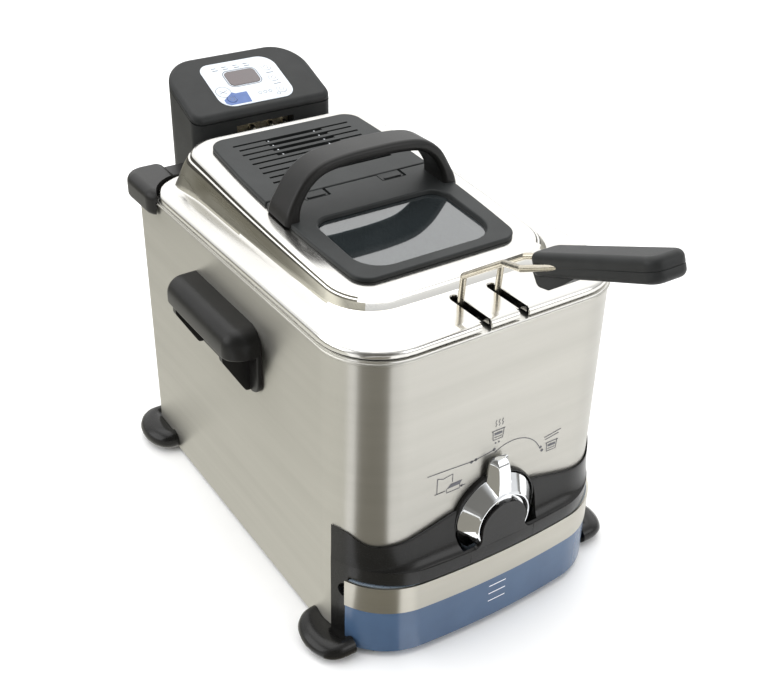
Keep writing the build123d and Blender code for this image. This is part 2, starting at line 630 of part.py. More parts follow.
def lid_shell():
    flange = prism(outline(LID_HALF, LID_FRONT, LID_REAR, 46, 35), RIM_TOP, LID_TOP)
    flange -= prism(outline(LID_HALF - 1, LID_FRONT + 1, LID_REAR - 1, 45, 34), RIM_TOP - 1, LID_TOP - 1)
    raised = extrude(outline(91, -126, 149, 34, 28), 45, taper=12)
    raised = Pos(0, 0, LID_TOP - 1) * raised - half_space(SLOPE_PLANE, 0, 1)
    raised = fillet(edges_on(raised, SLOPE_PLANE), 4)
    room = extrude(outline(89.8, -124.8, 147.8, 32.8, 26.8), 45, taper=12)
    room = Pos(0, 0, LID_TOP - 1.1) * room - half_space(SLOPE_PLANE, -1.2, 1)
    w = BOWL_WALL + 1.0
    skirt = prism(outline(BOWL_HALF - w, BOWL_FRONT + w, BOWL_REAR - w, BOWL_R_FRONT - w, BOWL_R_REAR - w),
                  248, LID_TOP - 0.5)
    w += 1
    skirt -= prism(outline(BOWL_HALF - w, BOWL_FRONT + w, BOWL_REAR - w, BOWL_R_FRONT - w, BOWL_R_REAR - w),
                   247, LID_TOP)
    part = flange + raised - room + skirt
    part -= on_slope(prism(outline(65, -98, 127, 14, 10), -20, 20))
    part -= handle_slots()
    for x, y in lid_screw_places():
        part -= on_slope(rod(1.6, (x, y, -9), (x, y, 2)))
    return part - block(-33, 33, 125, 170, 240, 274)


def lid_screw_places():
    return [(sx * 69.5, y) for sx in (-1, 1) for y in (-8, 8)]


def lid_seal():
    """Ring under the flange that rests on the bowl's rim."""
    ring = prism(outline(BOWL_HALF + 1.5, BOWL_FRONT - 1.5, BOWL_REAR + 1.5, 37, 29), RIM_TOP, LID_TOP - 1)
    ring -= prism(outline(BOWL_HALF - 2, BOWL_FRONT + 2, BOWL_REAR - 2, 34, 26), 240, 280)
    ring -= handle_slots()
    return ring - block(-33, 33, 125, 170, 240, 274)


def window_frame():
    frame = barrel(PANEL_FRONT, PANEL_SEAM - 0.5, PANEL_FRONT, 12)
    part = extrude(frame, PANEL_THICK)
    part -= prism(outline(57, -92, -16, 22, 14), -5, 10)
    for sx in (-1, 1):
        part -= block(sx * CATCH_X - 11.5, sx * CATCH_X + 11.5, 11.5, 25, PANEL_THICK - 1.2, 10)
    for x, y in lid_screw_places():
        part -= rod(1.6, (x, y, -2), (x, y, 9))
    return on_slope(part)


def window_glass():
    return on_slope(prism(outline(60, -95, -13, 24, 16), -4.0, -0.6))


def window_gasket():
    ring = prism(outline(60, -95, -13, 24, 16), -0.6, 0) - prism(outline(57, -92, -16, 22, 14), -2, 2)
    edge = prism(outline(62, -97, -11, 26, 18), -4.6, 0) - prism(outline(60, -95, -13, 24, 16), -6, 2)
    return on_slope(ring + edge)


def vent_cover():
    """Hinged cover over the filter, pierced by rows of slots, with two catches at its front edge."""
    part = extrude(barrel(PANEL_SEAM + 0.5, PANEL_REAR, PANEL_REAR, 12), PANEL_THICK)
    for row in range(9):
        y = 46 + 9.2 * row
        part -= block(-56, 56, y, y + 2.6, -1, 10)
        if row > 3:
            part -= block(-30, 30, y - 1.6, y + 2.6, -1, 10)
    ribs = [block(x - 1, x + 1, 42, 126, 0, PANEL_THICK - 1.0) for x in (-30, 0, 30)]
    catch = [block(sx * CATCH_X - 10, sx * CATCH_X + 10, 13, 26, PANEL_THICK - 1.1, PANEL_THICK) for sx in (-1, 1)]
    return on_slope(part + ribs + catch)


def filter_mat():
    return on_slope(prism(outline(62, 34, 124, 6, 8), -9, -1.5))


def filter_tray():
    """Perforated tray in the lid that carries the filter mat."""
    tray = prism(outline(64.6, 31, 126.6, 7, 9.6), -12, -0.3) - prism(outline(63, 33, 125, 6, 8), -9.2, 2)
    for row in range(8):
        y = 40 + 10 * row
        tray -= block(-54, 54, y, y + 5, -15, -8)
    return on_slope(tray)


def lid_handle():
    """Arched strap across the lid."""
    outer = Polyline((-75, 260), (-75, 292), (-69, 315), (-52, 326), (52, 326), (69, 315), (75, 292), (75, 260), close=True)
    inner = Polyline((-65, 250), (-65, 290), (-60, 307), (-46, 316.5), (46, 316.5), (60, 307), (65, 290), (65, 250), close=True)
    face = rounded(outer, 14) - rounded(inner, 10)
    part = Pos(0, 14.5, 0) * extrude(Plane.XZ * face, 29)
    part = fillet([e for e in part.edges() if abs(e.center().Y) > 14.4 and e.center().Z > 285], 3.0)
    part -= half_space(SLOPE_PLANE, PANEL_THICK, -1)
    for x, y in lid_screw_places():
        part -= on_slope(rod(1.5, (x, y, 2), (x, y, 14)))
    return part


def rounded(line, radius):
    """Face inside a closed line with its upper corners rounded."""
    face = make_face(line)
    upper = [v for v in face.vertices() if v.Y > 285]
    return fillet(upper, radius)


def lid_handle_screws():
    return group([on_slope(screw(1.5, 3, (x, y, -1.25), (x, y, 13.5))) for x, y in lid_screw_places()])


# ---- output ---------------------------------------------------------------------------------
def build_all():
    parts = {
        "outer_housing": outer_housing(), "housing_collar": housing_collar(), "rear_guide": rear_guide(),
        "base_tray": base_tray(), "heat_shield": heat_shield(), "foot_pads": foot_pads(),
        "base_screws": base_screws(), "front_trim": front_trim(), "knob_bezel": knob_bezel(),
        "shaft_bush": shaft_bush(), "selector_knob": selector_knob(), "selector_shaft": selector_shaft(),
        "handle_screws": handle_screws(), "oil_bowl": oil_bowl(), "valve_gasket": valve_gasket(),
        "valve_body": valve_body(), "valve_plug": valve_plug(), "bowl_strainer": bowl_strainer(),
        "oil_box": oil_box(), "oil_box_lid": oil_box_lid(), "oil_box_band": oil_box_band(),
        "control_case": control_case(), "control_cover": control_cover(), "control_overlay": control_overlay(),
        "display_lens": display_lens(), "circuit_board": circuit_board(), "transformer": transformer(),
        "power_inlet": power_inlet(), "terminal_plate": terminal_plate(), "heating_element": heating_element(),
        "temperature_probe": temperature_probe(), "element_clip": element_clip(), "case_screws": case_screws(),
        "basket_mesh": basket_mesh(), "basket_rim": basket_rim(), "basket_bracket": basket_bracket(),
        "handle_wires": handle_wires(), "grip_upper": grip_upper(), "grip_lower": grip_lower(),
        "grip_screws": grip_screws(), "lid_shell": lid_shell(), "lid_seal": lid_seal(),
        "window_frame": window_frame(), "window_glass": window_glass(), "window_gasket": window_gasket(),
        "vent_cover": vent_cover(), "filter_tray": filter_tray(), "filter_mat": filter_mat(),
        "lid_handle": lid_handle(), "lid_handle_screws": lid_handle_screws(),
    }
    for side in ("left", "right"):
        parts[f"side_handle_{side}"] = side_handle(side)
        for end in ("front", "rear"):
            parts[f"foot_{end}_{side}"] = foot(side, end)
    for name in KEYS:
        parts[f"key_{name}"] = key(name)
    return parts


def save(name, part):
    solids = [Pos(0, FOOTPRINT_SHIFT, 0) * solid for solid in part.solids()]
    export_step(solids[0] if len(solids) == 1 else Compound(solids), f"parts/{name}.step")


def main():
    os.makedirs("parts", exist_ok=True)
    for name, part in build_all().items():
        save(name, part)


main()
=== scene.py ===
import math

import bmesh
import bpy
from mathutils import Euler, Matrix, Vector


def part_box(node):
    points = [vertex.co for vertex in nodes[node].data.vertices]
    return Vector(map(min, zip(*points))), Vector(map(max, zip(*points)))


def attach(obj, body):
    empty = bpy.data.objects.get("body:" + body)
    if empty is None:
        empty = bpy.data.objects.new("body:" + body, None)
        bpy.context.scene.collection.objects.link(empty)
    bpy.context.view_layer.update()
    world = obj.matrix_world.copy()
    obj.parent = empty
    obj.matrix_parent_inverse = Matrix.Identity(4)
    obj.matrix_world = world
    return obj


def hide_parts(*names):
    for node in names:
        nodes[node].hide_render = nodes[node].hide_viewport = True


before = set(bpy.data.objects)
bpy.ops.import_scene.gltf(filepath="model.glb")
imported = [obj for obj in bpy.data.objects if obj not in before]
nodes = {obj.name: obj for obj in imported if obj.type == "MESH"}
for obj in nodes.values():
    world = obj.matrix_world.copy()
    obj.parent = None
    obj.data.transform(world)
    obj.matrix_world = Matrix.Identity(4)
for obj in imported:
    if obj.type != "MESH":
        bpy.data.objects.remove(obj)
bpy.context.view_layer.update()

MM = 0.001
SHELL_LOW, SHELL_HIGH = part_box("outer_housing")
MID_Y = (SHELL_LOW.y + SHELL_HIGH.y) / 2      # the housing's middle; sizes below are millimetres from it

# ---- sizes, in millimetres ------------------------------------------------------------------
HALF, FRONT, REAR = 118.7, -175.0, 175.0      # steel housing
R_FRONT, R_REAR = 46.0, 10.0
SLOPE, SLOPE_Z = 0.0893, 280.2                # raised part of the lid: rise per millimetre, height at y = 0
PANEL_FRONT, PANEL_SEAM, PANEL_REAR = -103.0, 22.5, 132.0
PANEL_HALF, PANEL_BOW, PANEL_THICK = 69.0, 5.5, 3.4
TOP_FRONT_Y, TOP_FRONT_Z, TOP_TILT = 160.0, 304.0, 0.408      # sloping top of the control unit
KNOB_Z = 97.0
SLOT_X = 16.0
GRIP_START, GRIP_TILT = (0, -204.0, 317.0), 22.5


def at(x, y, z):
    """A point in millimetres from the housing's middle line, on the floor, as a point of the frame."""
    return Vector((x * MM, y * MM + MID_Y, z * MM))


def slope_point(x, y, h=0.0):
    """A point on the lid's sloping plane, h above it."""
    run = math.hypot(1, SLOPE)
    return (x, y / run - h * SLOPE / run, SLOPE_Z + y * SLOPE / run + h / run)


def top_point(x, y, h=0.0):
    """A point on the control unit's sloping top, y up the slope from its front edge, h above it."""
    run = math.hypot(1, TOP_TILT)
    return (x, TOP_FRONT_Y + y / run - h * TOP_TILT / run, TOP_FRONT_Z + y * TOP_TILT / run + h / run)


def grip_point(x, y, h=0.0):
    """A point in the plane of the grip's seam, y back along the grip from its inner end, h above it."""
    turn = math.radians(GRIP_TILT)
    return (x, GRIP_START[1] + y * math.cos(turn) + h * math.sin(turn),
            GRIP_START[2] - y * math.sin(turn) + h * math.cos(turn))


def flat_point(x, y, h=0.0):
    return (x, y, h)


def facing_front(x, z, out=0.0):
    """A point of an upright plane that faces forward, out millimetres in front of the housing."""
    return (x, FRONT - out, z)


# ---- outlines -------------------------------------------------------------------------------
def smooth(t):
    t = min(max(t, 0.0), 1.0)
    return t * t * (3 - 2 * t)


def rounded(points, radii, steps=7):
    """Closed 2-D outline through points with each corner turned by an arc."""
    if not isinstance(radii, (list, tuple)):
        radii = [radii] * len(points)
    loop = []
    for i, corner in enumerate(points):
        c = Vector(corner)
        before = (Vector(points[i - 1]) - c).normalized()
        after = (Vector(points[(i + 1) % len(points)]) - c).normalized()
        turn = math.acos(max(-1.0, min(1.0, before.dot(after))))
        reach = radii[i] / math.tan(turn / 2)
        start, end = c + before * reach, c + after * reach
        middle = c + (before + after).normalized() * (radii[i] / math.sin(turn / 2))
        a, b = start - middle, end - middle
        sweep = math.pi - turn
        side = 1 if a.x * b.y - a.y * b.x > 0 else -1
        for k in range(steps + 1):
            angle = side * sweep * k / steps
            loop.append((middle.x + a.x * math.cos(angle) - a.y * math.sin(angle),
                         middle.y + a.x * math.sin(angle) + a.y * math.cos(angle)))
    return loop


def rectangle(x0, x1, y0, y1, radii, steps=7):
    return rounded([(x0, y0), (x1, y0), (x1, y1), (x0, y1)], radii, steps)


def circle(radius, count=32, x=0.0, y=0.0):
    return [(x + radius * math.cos(2 * math.pi * k / count), y + radius * math.sin(2 * math.pi * k / count))
            for k in range(count)]


def ring(half, front, rear, r_front, r_rear, bow=0.0, bow_front=0.0, corner=10, side=22, end=16):
    """Closed plan outline with the same number of points whatever its sizes, so that rings can be joined.
    The sides bow out by bow in their middles, and the front by bow_front."""
    loop = []

    def run(a, b, count):
        loop.extend((a[0] + (b[0] - a[0]) * k / count,
                     a[1] + (b[1] - a[1]) * k / count) for k in range(count))

    def arc(cx, cy, r, start):
        loop.extend((cx + r * math.cos(math.radians(start + 90 * k / corner)),
                     cy + r * math.sin(math.radians(start + 90 * k / corner))) for k in range(corner))

    run((-half + r_front, front), (half - r_front, front), end)
    arc(half - r_front, front + r_front, r_front, -90)
    run((half, front + r_front), (half, rear - r_rear), side)
    arc(half - r_rear, rear - r_rear, r_rear, 0)
    run((half - r_rear, rear), (-half + r_rear, rear), end)
    arc(-half + r_rear, rear - r_rear, r_rear, 90)
    run((-half, rear - r_rear), (-half, front + r_front), side)
    arc(-half + r_front, front + r_front, r_front, 180)
    middle, reach = (front + rear) / 2, (rear - front) / 2
    bent = []
    for x, y in loop:
        out = bow * (1 - ((y - middle) / reach) ** 2)
        fore = bow_front * (1 - (x / half) ** 2) * smooth((middle - y) / reach)
        bent.append((x * (1 + out / half), y - fore))
    return bent


def inset(loop, distance):
    """A closed outline moved inwards."""
    area = sum(a[0] * b[1] - b[0] * a[1] for a, b in zip(loop, loop[1:] + loop[:1]))
    turn = 1 if area > 0 else -1
    moved = []
    for i, point in enumerate(loop):
        p = Vector(point)
        a, b = p - Vector(loop[i - 1]), Vector(loop[(i + 1) % len(loop)]) - p
        normals = [Vector((-v.y, v.x)).normalized() for v in (a, b) if v.length > 1e-6]
        n = sum(normals, Vector((0, 0))).normalized()
        stretch = 1 / max(0.6, n.dot(normals[0])) if normals else 1
        moved.append(tuple(p + n * distance * stretch * turn))
    return moved


# ---- meshes ---------------------------------------------------------------------------------
def skin(loops, close=False, caps=True, open_loops=False):
    """Vertices and faces of a surface through loops of equal length. close joins the last loop to the first."""
    size = len(loops[0])
    points = [p for loop in loops for p in loop]
    faces = []
    rows = len(loops) if close else len(loops) - 1
    for i in range(rows):
        a, b = i * size, (i + 1) % len(loops) * size
        for j in range(size - 1 if open_loops else size):
            k = (j + 1) % size
            faces.append((a + j, a + k, b + k, b + j))
    if caps and not close:
        faces.append(tuple(range(size))[::-1])
        faces.append(tuple(range(len(points) - size, len(points))))
    return points, faces


def solid(name, parts, sharp=38):
    """One mesh object from (points, faces) parts, its points in millimetres."""
    mesh = bpy.data.meshes.new(name)
    bm = bmesh.new()
    for points, faces in parts:
        verts = [bm.verts.new(at(*p)) for p in points]
        for face in faces:
            bm.faces.new([verts[i] for i in face])
    bmesh.ops.remove_doubles(bm, verts=bm.verts, dist=1e-6)
    bmesh.ops.recalc_face_normals(bm, faces=bm.faces)
    bm.to_mesh(mesh)
    bm.free()
    obj = bpy.data.objects.new(name, mesh)
    bpy.context.scene.collection.objects.link(obj)
    shade(obj, sharp)
    return obj


def shade(obj, sharp=38):
    obj.data.polygons.foreach_set("use_smooth", [True] * len(obj.data.polygons))
    obj.data.set_sharp_from_angle(angle=math.radians(sharp))


def apply_modifiers(obj):
    bpy.context.view_layer.update()
    made = bpy.data.meshes.new_from_object(obj.evaluated_get(bpy.context.evaluated_depsgraph_get()))
    obj.modifiers.clear()
    old = obj.data
    obj.data = made
    bpy.data.meshes.remove(old)


def combine(obj, other, how="DIFFERENCE", sharp=38):
    """Cuts other out of obj, or adds it, and removes other."""
    step = obj.modifiers.new("combine", "BOOLEAN")
    step.operation, step.solver, step.object = how, "EXACT", other
    apply_modifiers(obj)
    bpy.data.objects.remove(other)
    shade(obj, sharp)
    return obj


def place(obj, body, material, stands_for=()):
    """Gives a finished piece its material, body and the CAD nodes it stands for."""
    obj.data.materials.clear()
    obj.data.materials.append(material)
    if obj.type == "MESH":
        even = obj.modifiers.new("even", "WEIGHTED_NORMAL")
        even.keep_sharp = True
    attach(obj, body)
    if stands_for:
        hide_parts(*stands_for)
    return obj


def slab(loop, low, high, r_low=0.0, r_high=0.0, to=flat_point, steps=5):
    """A plate with the given outline and rounded lower and upper edges, put in place by `to`."""
    rings = []

    def edge(radius, level, direction):
        for k in range(steps + 1):
            a = math.pi / 2 * k / steps
            rings.append((radius * (1 - math.sin(a)), level + direction * radius * (1 - math.cos(a))))

    if r_low:
        edge(r_low, low, 1)
    else:
        rings.append((0.0, low))
    if r_high:
        upper = [(r_high * (1 - math.cos(math.pi / 2 * k / steps)),
                  high - r_high * (1 - math.sin(math.pi / 2 * k / steps)))
                 for k in range(steps + 1)]
        rings.extend(upper)
    else:
        rings.append((0.0, high))
    return skin([[to(x, y, h) for x, y in (inset(loop, d) if d else loop)] for d, h in rings])


def tube(path, radius, sides=16):
    """A round bar along a line of points."""
    points = [Vector(p) for p in path]
    loops = []
    normal = None
    for i, p in enumerate(points):
        along = (points[min(i + 1, len(points) - 1)] - points[max(i - 1, 0)]).normalized()
        if normal is None:
            normal = along.orthogonal().normalized()
        normal = (normal - along * normal.dot(along)).normalized()
        other = along.cross(normal)
        r = radius[i] if isinstance(radius, (list, tuple)) else radius
        loops.append([tuple(p + (normal * math.cos(a) + other * math.sin(a)) * r)
                      for a in (2 * math.pi * k / sides for k in range(sides))])
    return skin(loops)


def bent(points, radius, steps=8):
    """Line through 3-D points with each inner corner turned by an arc."""
    line = [Vector(points[0])]
    for before, corner, after in zip(points, points[1:], points[2:]):
        c = Vector(corner)
        a, b = (Vector(before) - c).normalized(), (Vector(after) - c).normalized()
        turn = a.angle(b)
        reach = radius / math.tan(turn / 2)
        middle = c + (a + b).normalized() * (radius / math.sin(turn / 2))
        start, end = c + a * reach - middle, c + b * reach - middle
        for k in range(steps + 1):
            line.append(middle + start.slerp(end, k / steps))
    line.append(Vector(points[-1]))
    return line


def turned(profile, centre, count=48, axis="Y"):
    """A turned shape about an axis along y (or z): profile holds (distance from the axis, place along it)."""
    def point(r, along, a):
        u, v = r * math.cos(a), r * math.sin(a)
        return (centre[0] + u, along, centre[2] + v) if axis == "Y" else (centre[0] + u, centre[1] + v, along)
    return skin([[point(r, along, 2 * math.pi * k / count) for k in range(count)] for r, along in profile])


def ribbon(line, width, to, lift, closed=False):
    """A printed line: a thin flat strip along 2-D points."""
    points = [Vector(p) for p in line]
    left, right = [], []
    count = len(points)
    for i, p in enumerate(points):
        a = points[i - 1] if i or closed else p
        b = points[(i + 1) % count] if i < count - 1 or closed else p
        along = (b - a).normalized()
        off = Vector((-along.y, along.x)) * width / 2
        left.append(to(*(p + off), lift))
        right.append(to(*(p - off), lift))
    faces = [(i, (i + 1) % count, count + (i + 1) % count,
              count + i) for i in range(count if closed else count - 1)]
    return left + right, faces


def patch(loop, to, lift):
    """A printed area."""
    return [to(x, y, lift) for x, y in loop], [tuple(range(len(loop)))]


def arc_line(cx, cy, radius, start, end, steps=24):
    return [(cx + radius * math.cos(math.radians(start + (end - start) * k / steps)),
             cy + radius * math.sin(math.radians(start + (end - start) * k / steps))) for k in range(steps + 1)]


# ---- materials ------------------------------------------------------------------------------
def colour(code, alpha=1.0):
    """Linear colour from six hexadecimal digits."""
    parts = [int(code[i:i + 2], 16) / 255 for i in (0, 2, 4)]
    return tuple(c / 12.92 if c <= 0.04045 else ((c + 0.055) / 1.055) ** 2.4 for c in parts) + (alpha,)


def finish_material(name, dark, light, rough, grain=(60, 60, 60), fine=(900, 900, 900), bump=0.1,
                    depth=0.00004,
                    **sockets):
    """A procedural finish: a slow change between two colours and two roughnesses, and a fine relief.
    grain and fine are the two textures' scales along x, y and z, per metre."""
    made = bpy.data.materials.new(name)
    made.use_nodes = True
    tree = made.node_tree
    shader = tree.nodes["Principled BSDF"]
    place_node = tree.nodes.new("ShaderNodeTexCoord")

    def noise(scale, detail):
        mapping = tree.nodes.new("ShaderNodeMapping")
        mapping.inputs["Scale"].default_value = scale
        texture = tree.nodes.new("ShaderNodeTexNoise")
        texture.inputs["Scale"].default_value = 1.0
        texture.inputs["Detail"].default_value = detail
        tree.links.new(place_node.outputs["Object"], mapping.inputs["Vector"])
        tree.links.new(mapping.outputs["Vector"], texture.inputs["Vector"])
        return texture.outputs["Fac"]

    slow, quick = noise(grain, 4.0), noise(fine, 2.0)
    ramp = tree.nodes.new("ShaderNodeValToRGB")
    ramp.color_ramp.elements[0].position, ramp.color_ramp.elements[1].position = 0.3, 0.7
    ramp.color_ramp.elements[0].color, ramp.color_ramp.elements[1].color = colour(dark), colour(light)
    tree.links.new(slow, ramp.inputs["Fac"])
    tree.links.new(ramp.outputs["Color"], shader.inputs["Base Color"])
    spread = tree.nodes.new("ShaderNodeMapRange")
    spread.inputs["From Min"].default_value, spread.inputs["From Max"].default_value = 0.3, 0.7
    spread.inputs["To Min"].default_value, spread.inputs["To Max"].default_value = rough
    tree.links.new(quick, spread.inputs["Value"])
    tree.links.new(spread.outputs["Result"], shader.inputs["Roughness"])
    relief = tree.nodes.new("ShaderNodeBump")
    relief.inputs["Strength"].default_value = bump
    relief.inputs["Distance"].default_value = depth
    tree.links.new(quick, relief.inputs["Height"])
    tree.links.new(relief.outputs["Normal"], shader.inputs["Normal"])
    if "Anisotropic" in sockets:                 # brushed: reflections spread across the brushing
        around = tree.nodes.new("ShaderNodeTangent")
        around.direction_type, around.axis = "RADIAL", "Z"
        tree.links.new(around.outputs["Tangent"], shader.inputs["Tangent"])
    for key, value in sockets.items():
        shader.inputs[key.replace("_", " ")].default_value = value
    return made


BRUSH = (3, 3, 2600)             # brushing that runs level round the housing
housing_steel = finish_material("housing_steel", "b4b2ab", "bcbab3", (0.33, 0.39), (4, 4, 60), BRUSH, 0.05,
                                0.00001,
                                Anisotropic=0.9, Anisotropic_Rotation=0.25,
                                Metallic=1.0)
lid_steel = finish_material("lid_steel", "d3d1cc", "dbdad6", (0.12, 0.2), (10, 10, 10), (2200, 4, 4), 0.05,
                            0.00001,
                            Metallic=1.0)
# Darker copies of the lid steel that paint reflections: a tan band on the plateau's side walls and dark lines at
# their upper fillets.
painted_reflection_steel = finish_material("painted_reflection_steel", "918e82", "9a978b", (0.26, 0.34), (10, 10, 10), (2200, 4, 4), 0.05,
                             0.00001, Metallic=1.0)
painted_dark_reflection_steel = finish_material("painted_dark_reflection_steel", "4c4a43", "56544c", (0.3, 0.4), (10, 10, 10), (2200, 4, 4),
                               0.05,
                               0.00001, Metallic=1.0)
band_steel = finish_material("band_steel", "b3b0a6", "bbb8ae", (0.28, 0.34), (6, 6, 60), BRUSH, 0.05, 0.00001,
                             Anisotropic=0.88, Anisotropic_Rotation=0.25,
                             Metallic=1.0)
bowl_steel = finish_material("bowl_steel", "c9c8c4", "d6d5d1", (0.22, 0.34), (20, 20, 20), (6, 6, 1500), 0.08,
                             0.00002, Metallic=1.0)
rod_steel = finish_material("rod_steel", "b9b2a2", "c8c2b4", (0.2, 0.3), (80, 80, 80), (1200, 1200, 1200),
                            0.05,
                            0.00002, Metallic=1.0)
fastener_steel = finish_material("fastener_steel", "b5b5b2", "c6c6c3", (0.3, 0.42), (90, 90, 90), (1500,
    1500, 1500),
                                 0.08, 0.00002, Metallic=1.0)
chrome = finish_material("chrome", "e6e8ea", "f0f1f2", (0.04, 0.09), (40, 40, 40), (500, 500, 500), 0.02,
                         0.00001,
                         Metallic=1.0)
brass = finish_material("brass", "8f7a52", "b49a68", (0.25, 0.4), (90, 90, 90), (1200, 1200, 1200), 0.08,
                        0.00002,
                        Metallic=1.0)
plate_steel = finish_material("plate_steel", "a89f8b", "beb6a3", (0.25, 0.38), (70, 70, 70), (1200, 1200,
    1200),
                              0.08, 0.00002, Metallic=1.0)
black_plastic = finish_material("black_plastic", "171716", "1d1c1b", (0.3, 0.4), (40, 40, 40),
                                (1600, 1600, 1600), 0.12, 0.00003, Specular_IOR_Level=0.25)
satin_plastic = finish_material("satin_plastic", "151514", "1b1a19", (0.2, 0.28), (40, 40, 40),
                                (1500, 1500, 1500), 0.05, 0.00002, Specular_IOR_Level=0.3)
panel_plastic = finish_material("panel_plastic", "262828", "2c2e2e", (0.4, 0.5), (50, 50, 50),
                                (2400, 2400, 2400), 0.3, 0.00004, Specular_IOR_Level=0.22)
case_plastic = finish_material("case_plastic", "222323", "292a2a", (0.38, 0.5), (50, 50, 50), (2600, 2600,
    2600),
                               0.35, 0.00005, Specular_IOR_Level=0.2)
foot_plastic = finish_material("foot_plastic", "121211", "181716", (0.2, 0.28), (40, 40, 40), (900, 900, 900),
                               0.04, 0.00002, Specular_IOR_Level=0.3)
inner_plastic = finish_material("inner_plastic", "2b2b2b", "343434", (0.45, 0.6), (50, 50, 50), (1600,
    1600, 1600),
                                0.15, 0.00003)
# Near-black material that paints the shade inside gaps and seams.
painted_shade_recess = finish_material("painted_shade_recess", "070707", "0c0c0c", (0.5, 0.6), (50, 50, 50), (900, 900, 900),
                              0.1,
                              0.00003)
rubber = finish_material("rubber", "1c1c1c", "242424", (0.6, 0.75), (60, 60, 60), (1800, 1800, 1800), 0.25,
                         0.00004)
box_plastic = finish_material("box_plastic", "4a6486", "557092", (0.16, 0.26), (25, 25, 25), (700, 700,
    700), 0.05,
                              0.00002, Transmission_Weight=0.25, IOR=1.49)
box_lid_plastic = finish_material("box_lid_plastic", "8a99a8", "97a5b3", (0.25, 0.35), (25, 25, 25),
                                  (700, 700, 700), 0.05, 0.00002, Transmission_Weight=0.3, IOR=1.49)
glass = finish_material("glass", "5f696d", "697377", (0.01, 0.03), (30, 30, 30), (200, 200, 200), 0.01,
                        0.00001,
                        Transmission_Weight=0.85, IOR=2.4)
overlay_film = finish_material("overlay_film", "cfd6de", "d6dde4", (0.2, 0.28), (60, 60, 60), (900, 900,
    900), 0.03,
                               0.00001)
display_red = finish_material("display_red", "26080d", "2e0c12", (0.06, 0.12), (60, 60, 60), (500, 500,
    500), 0.02,
                              0.00001, Coat_Weight=0.6)
key_plastic = finish_material("key_plastic", "e6eaef", "eef1f5", (0.25, 0.35), (60, 60, 60), (1200, 1200,
    1200),
                              0.05, 0.00002)
print_grey = finish_material("print_grey", "55555a", "626268", (0.4, 0.5), (300, 300, 300), (900, 900,
    900), 0.02,
                             0.00001)
print_light = finish_material("print_light", "555b66", "5f6570", (0.4, 0.5), (300, 300, 300), (900, 900,
    900), 0.02,
                              0.00001)
print_blue = finish_material("print_blue", "3f5c96", "4966a0", (0.3, 0.4), (200, 200, 200), (900, 900,
    900), 0.02,
                             0.00001)
print_white = finish_material("print_white", "e9edf2", "f4f6f8", (0.35, 0.45), (200, 200, 200), (900, 900,
    900),
                              0.02, 0.00001)
board_green = finish_material("board_green", "2e5a3a", "3a6b45", (0.4, 0.5), (300, 300, 300), (900, 900,
    900), 0.1,
                              0.00003)
transformer_steel = finish_material("transformer_steel", "6d6a66", "7a7773", (0.4, 0.5), (5, 5, 900),
                                    (900, 900, 900), 0.1, 0.00003, Metallic=0.8)
filter_felt = finish_material("filter_felt", "161616", "222221", (0.85, 0.95), (500, 500, 500), (2500,
    2500, 2500),
                              0.8, 0.0003)

CAD_FINISH = {
    "housing_steel": housing_steel, "lid_steel": lid_steel, "bowl_steel": bowl_steel,
    "black_plastic": black_plastic, "panel_plastic": panel_plastic, "foot_plastic": foot_plastic,
    "inner_plastic": inner_plastic, "rubber": rubber, "chrome": chrome, "rod_steel": rod_steel,
    "fastener_steel": fastener_steel, "brass": brass, "oil_box_plastic": box_plastic,
    "oil_box_lid_plastic": box_lid_plastic, "glass": glass, "overlay_film": overlay_film,
    "display_red": display_red, "key_plastic": key_plastic, "board": board_green,
    "transformer_steel": transformer_steel, "filter_felt": filter_felt,
}


# ---- lid ------------------------------------------------------------------------------------
def lid_ring(half, front, rear, r_front, r_rear, flat=263.0, rise=0.0, drop=0.0, bow=0.0, flare=0.0):
    """A ring of the lid's shell. rise goes from 0, at the flat level, to 1, on the sloping plane."""
    loop = []
    for x, y in ring(half, front, rear, r_front, r_rear, bow, bow * 0.7):
        x += math.copysign(flare * smooth((y - 85) / 60) * smooth((abs(x) - 30) / 45), x)
        loop.append((x, y, flat + rise * (SLOPE_Z + SLOPE * y - 263.0) + drop))
    return loop


